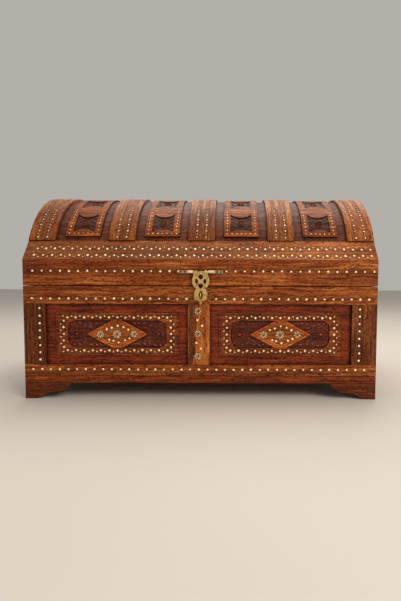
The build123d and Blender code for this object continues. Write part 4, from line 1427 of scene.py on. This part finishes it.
@dataclass
class Barrel:
    """Staves, straps and carved tablets of the lid."""

    shop: Workshop
    # Board-to-board tone, with the straps darker towards the left and the right-hand one paler, partly as
    # painted light from the right
    tones: tuple[WoodTone, ...] = (DARK_STRAP_TONE, STRAP_TONE, DARK_STRAP_TONE, STRAP_TONE, PALE_STRAP_TONE)
    column: float = 8.0  # half the distance between a strap's two columns of pins
    first_pin: float = 6.4  # from the strap's foot
    pin_pitch: float = 14.0
    pin_radius: float = 1.6
    dot_radius: float = 0.8
    ground: float = 5.2  # half the width of the ground worked round a column
    crown_sheen_heights: Pair = (322.0, 358.0)  # heights between which the straps fade to a paler tone, as a painted sheen
    tablet_relief: float = 1.6  # from the tablet's face to the floor of its carving
    tablet_thickness: float = 3.0
    tablet_inset: float = 6.0
    tablet_pitch: float = 8.2
    tablet_dot: float = 1.15
    tablet_columns: int = 7
    square_pitch: float = 24.0  # degrees
    leaves: tuple[Quad, ...] = (
        (8.5, 7.0, -15, 0.75), (13.0, 12.5, -30, 0.75), (12.0, 3.5, -70, 0.75))

    def build(self) -> None:
        """Dresses the barrel, and makes its inlay and carving."""
        Rosewood(Grain.SIDEWAYS, STAVE_TONE, (70, 0, 0), face=FaceKind.BARREL).dress("lid_staves")
        for number in range(1, len(self.tones) + 1):
            self.strap(number)
        for number in range(1, len(self.tones)):
            self.tablet(number)

    def strap(self, number: int) -> None:
        """Finish and pins of one strap, counted from the left.

        Args:
            number: Number of the strap.
        """
        name = f"lid_strap_{number}"
        low, high = node_box(name)
        middle = (low.x + high.x) / 2
        start = STRAP_FOOT + self.first_pin
        end = math.pi * ARCH_RADIUS - start
        count = round((end - start) / self.pin_pitch) + 1
        pitch = (end - start) / (count - 1)
        places = (middle - self.column, middle + self.column)
        cuts = tuple(PinRowCut(place, start, pitch, self.ground, upright=True) for place in places)
        # Painted sheen: the straps fade to a paler tone near the top of the barrel
        wear_and_sheen = (Step("z", *self.crown_sheen_heights, CROWN_SHEEN_TONE),)
        Rosewood(Grain.OVER_BARREL, self.tones[number - 1], (310.0 * number, 0, 8), wear_and_sheen, FaceKind.BARREL,
                 cuts).dress(name)
        rows = []
        for place in places:
            rows += [((place, start), (place, end), count, self.pin_radius),
                     ((place, start + pitch / 2), (place, end - pitch / 2), count - 1, self.dot_radius)]
        self.shop.set_rows(f"{name}_pins", "lid", ArchFace(ARCH_RADIUS), rows, wear_and_sheen=True)

    def tablet(self, number: int) -> None:
        """Finish, pins and carving of one tablet, counted from the left.

        Args:
            number: Number of the tablet.
        """
        name = f"lid_tablet_{number}"
        low, high = node_box(name)
        radius = high.z - ARCH_CENTRE
        middle = (low.x + high.x) / 2
        plot = (410.0 * number, 0, 20)
        step = Step("radius", radius - 0.3, radius - 1.0, LID_FIELD_TONE)
        Rosewood(Grain.SIDEWAYS, LID_TABLET_TONE, plot, (step,), FaceKind.BARREL).dress(name)
        foot_angle = math.asin((low.z - ARCH_CENTRE) / (radius - self.tablet_thickness))
        start = foot_angle * radius + self.tablet_inset
        end = math.pi * radius - start
        wide = (high.x - low.x) / 2 - self.tablet_inset
        count = round((end - start) / self.tablet_pitch) + 1
        rows = [((u, start), (u, end), count, self.tablet_dot) for u in (middle - wide, middle + wide)]
        inner = wide - 2 * wide / (self.tablet_columns - 1)
        rows += [((middle - inner, level), (middle + inner, level), self.tablet_columns - 2, self.tablet_dot)
                 for level in (start, end)]
        self.shop.set_rows(f"{name}_pins", "lid", ArchFace(radius), rows, wear_and_sheen=True)
        floor = ArchFace(radius - self.tablet_relief)
        carving = self.shop.mosaic(f"{name}_carving", "lid", "strap_wood", floor)
        for index in range(-2, 3):
            v = math.radians(90 + index * self.square_pitch) * floor.radius
            carving.rosette(middle, v, 0.85, (0.78,), 1.9, 0.78)
            for side in (-1, 1):
                carving.leaves(middle, v, side, self.leaves)
        relief = Rosewood(Grain.SIDEWAYS, LID_RELIEF_TONE, plot, face=FaceKind.BARREL, figure=0.3)
        carving.join(relief.build(f"rosewood_{name}_carving"))


@dataclass
class Fittings:
    """Hasp, hanger, staple, hinges and their fasteners."""

    cast: Brass = Brass("cast_brass_hasp", "#e2c078", "#7c6130", 0.34, 4.5, 0.55, 0.1, 2.6, 0.85, 1.2)
    hammered: Brass = Brass("hammered_brass_hanger", "#ffe6b4", "#a08c62", 0.38, 6.0, 0.6, 0.06, 2.0, 0.75,
                            rubbed=(1.0, 22.5))
    drawn: Brass = Brass("drawn_brass_staple", "#d8b670", "#7c6238", 0.3, 4.0, 0.35, 0.02, 1.5)
    pressed: Brass = Brass("pressed_brass_hinge", "#b8934e", "#6a4f28", 0.36, 9.0, 0.5, 0.03, 2.0)
    iron: Brass = Brass("blackened_iron_nail", "#5c5248", "#2b241e", 0.45, 2.0, 0.8, 0.05, 1.0)

    def build(self) -> None:
        """Dresses the metal."""
        hinges = ["hinge_case_screws", "hinge_lid_screws"]
        for side in ("left", "right"):
            hinges += [f"{side}_hinge_{part}" for part in ("case_leaf", "lid_leaf", "pin")]
        for metal, nodes in (
                (self.cast, ["hasp_plate"]), (self.hammered, ["hasp_hanger"]), (self.drawn, ["hasp_staple"]),
                (self.pressed, hinges), (self.iron, ["hanger_nails"])):
            finish = metal.build()
            for node in nodes:
                dress(node, finish)


# ---- studio
@dataclass
class Studio:
    """Plain pale floor and backdrop, soft lamps and the camera."""

    camera_place: Triple = (52.9, -940.5, 217.6)
    tilt: float = 3.63  # how far the camera looks down
    roll: float = 0.21
    focal_pixels: float = 450.0
    shift_pixels: float = 31.15  # how far the optical centre lies right of the frame's middle

    def build(self) -> None:
        """Makes floor, surroundings, lamps and camera."""
        self.backdrop()
        self.world()
        self.lamp("overhead", (0.1, 0.5, 1.6), (0, 0, 0.2), 1.4, 24, "#fff6ea")
        self.lamp("key", (1.3, -1.7, 1.3), (0, 0, 0.15), 1.0, 32, "#fff1e0")
        self.lamp("fill", (-1.6, -1.5, 0.9), (0, 0, 0.15), 1.2, 4, "#f2f2ff")
        self.camera()

    def backdrop(self) -> None:
        """Plain pale floor, wide enough to be the backdrop as well."""
        bpy.ops.object.select_all(action="DESELECT")
        bpy.ops.mesh.primitive_plane_add(size=1)
        floor = bpy.context.active_object
        floor.name = "studio_floor"
        bpy.ops.object.mode_set(mode="EDIT")
        resize(9, 9, 1)
        bpy.ops.object.mode_set(mode="OBJECT")
        material, tree = new_tree("studio_paper")
        place = add(tree, "TexCoord", out="Object")
        cloud = add(tree, "TexNoise", {"Vector": place, "Scale": 2.0, "Detail": 2.0})
        tone = add(tree, "Mix", (cloud, linear("#c6c1ba"), linear("#cfcac3")))
        shader = add(tree, "BsdfPrincipled", {"Base Color": tone, "Roughness": 0.85})
        add(tree, "OutputMaterial", (shader,))
        floor.data.materials.append(material)

    def world(self) -> None:
        """Even pale surroundings."""
        world = bpy.data.worlds.new("studio_world")
        bpy.context.scene.world = world
        world.use_nodes = True
        world.node_tree.nodes.clear()
        glow = add(world.node_tree, "Background", {"Color": linear("#e9e4dd"), "Strength": 0.55})
        add(world.node_tree, "OutputWorld", (glow,))

    def lamp(self, name: str, place: Triple, aim: Triple, size: float,
             power: float, colour: str) -> None:
        """Adds one soft square lamp.

        Args:
            name: Name of the lamp.
            place: Its place, in metres.
            aim: Point that it looks at, in metres.
            size: Its side, in metres.
            power: Its power in watts.
            colour: Its colour.
        """
        data = bpy.data.lights.new(name, "AREA")
        data.shape = "SQUARE"
        data.size = size
        data.energy = power
        data.color = linear(colour)[:3]
        lamp = bpy.data.objects.new(name, data)
        lamp.location = place
        lamp.rotation_euler = (Vector(aim) - Vector(place)).to_track_quat("-Z", "Y").to_euler()
        bpy.context.scene.collection.objects.link(lamp)

    def camera(self) -> None:
        """Camera at the viewing angle, with the optical centre right of the frame's middle."""
        data = bpy.data.cameras.new("camera")
        data.sensor_fit = "AUTO"
        data.sensor_width = SENSOR
        data.lens = self.focal_pixels * SENSOR / IMAGE_HEIGHT
        data.shift_x = -self.shift_pixels / IMAGE_HEIGHT
        data.clip_start = 0.01
        camera = bpy.data.objects.new("camera", data)
        tilt = Matrix.Rotation(math.radians(90 - self.tilt), 4, "X")
        roll = Matrix.Rotation(math.radians(self.roll), 4, "Z")
        camera.matrix_world = Matrix.Translation(Vector(self.camera_place) * MM) @ tilt @ roll
        bpy.context.scene.collection.objects.link(camera)
        bpy.context.scene.camera = camera


def main() -> None:
    """Builds the sub-assemblies in order."""
    logging.basicConfig(level=logging.INFO, format="%(name)s: %(message)s")
    bpy.context.scene.view_settings.view_transform = "Standard"
    motifs = Motifs()
    motifs.build()
    # Pins and strips scatter most of their pale colour, so they look bright from every side: painted glint
    glinting_pin_brass = Brass("polished_brass_inlay_painted_glint", "#ffe8b8", "#e6ac70", 0.3, 14.0, 0.25, 0.02, 0.6, 0.25)
    crown_dimmed = Brass("dull_brass_inlay_crown_dimmed", "#f6d09c", "#a8683c", 0.36, 22.0, 0.4, 0.02, 0.6, 0.4,
                  crown_dimmed=(315.0, 345.0))
    glinting_strip_brass = Brass("filed_brass_strips_painted_glint", "#fff2c0", "#ffdc98", 0.4, 14.0, 0.2, 0.02, 0.6, 0.05)
    shop = Workshop(motifs, glinting_pin_brass.build(), crown_dimmed.build(), glinting_strip_brass.build(), random.Random(11))
    panels = (CarvedPanel(shop, "left", (0, 200, 0)), CarvedPanel(shop, "right", (700, 260, 0)))
    for part in (CaseFrame(shop), *panels, PlainPanels(), Base(), LidFront(shop), Barrel(shop), Fittings(),
                 Studio()):
        part.build()
        LOG.info("%s is built", type(part).__name__)
    motifs.clear()


if __name__ == "__main__":
    main()
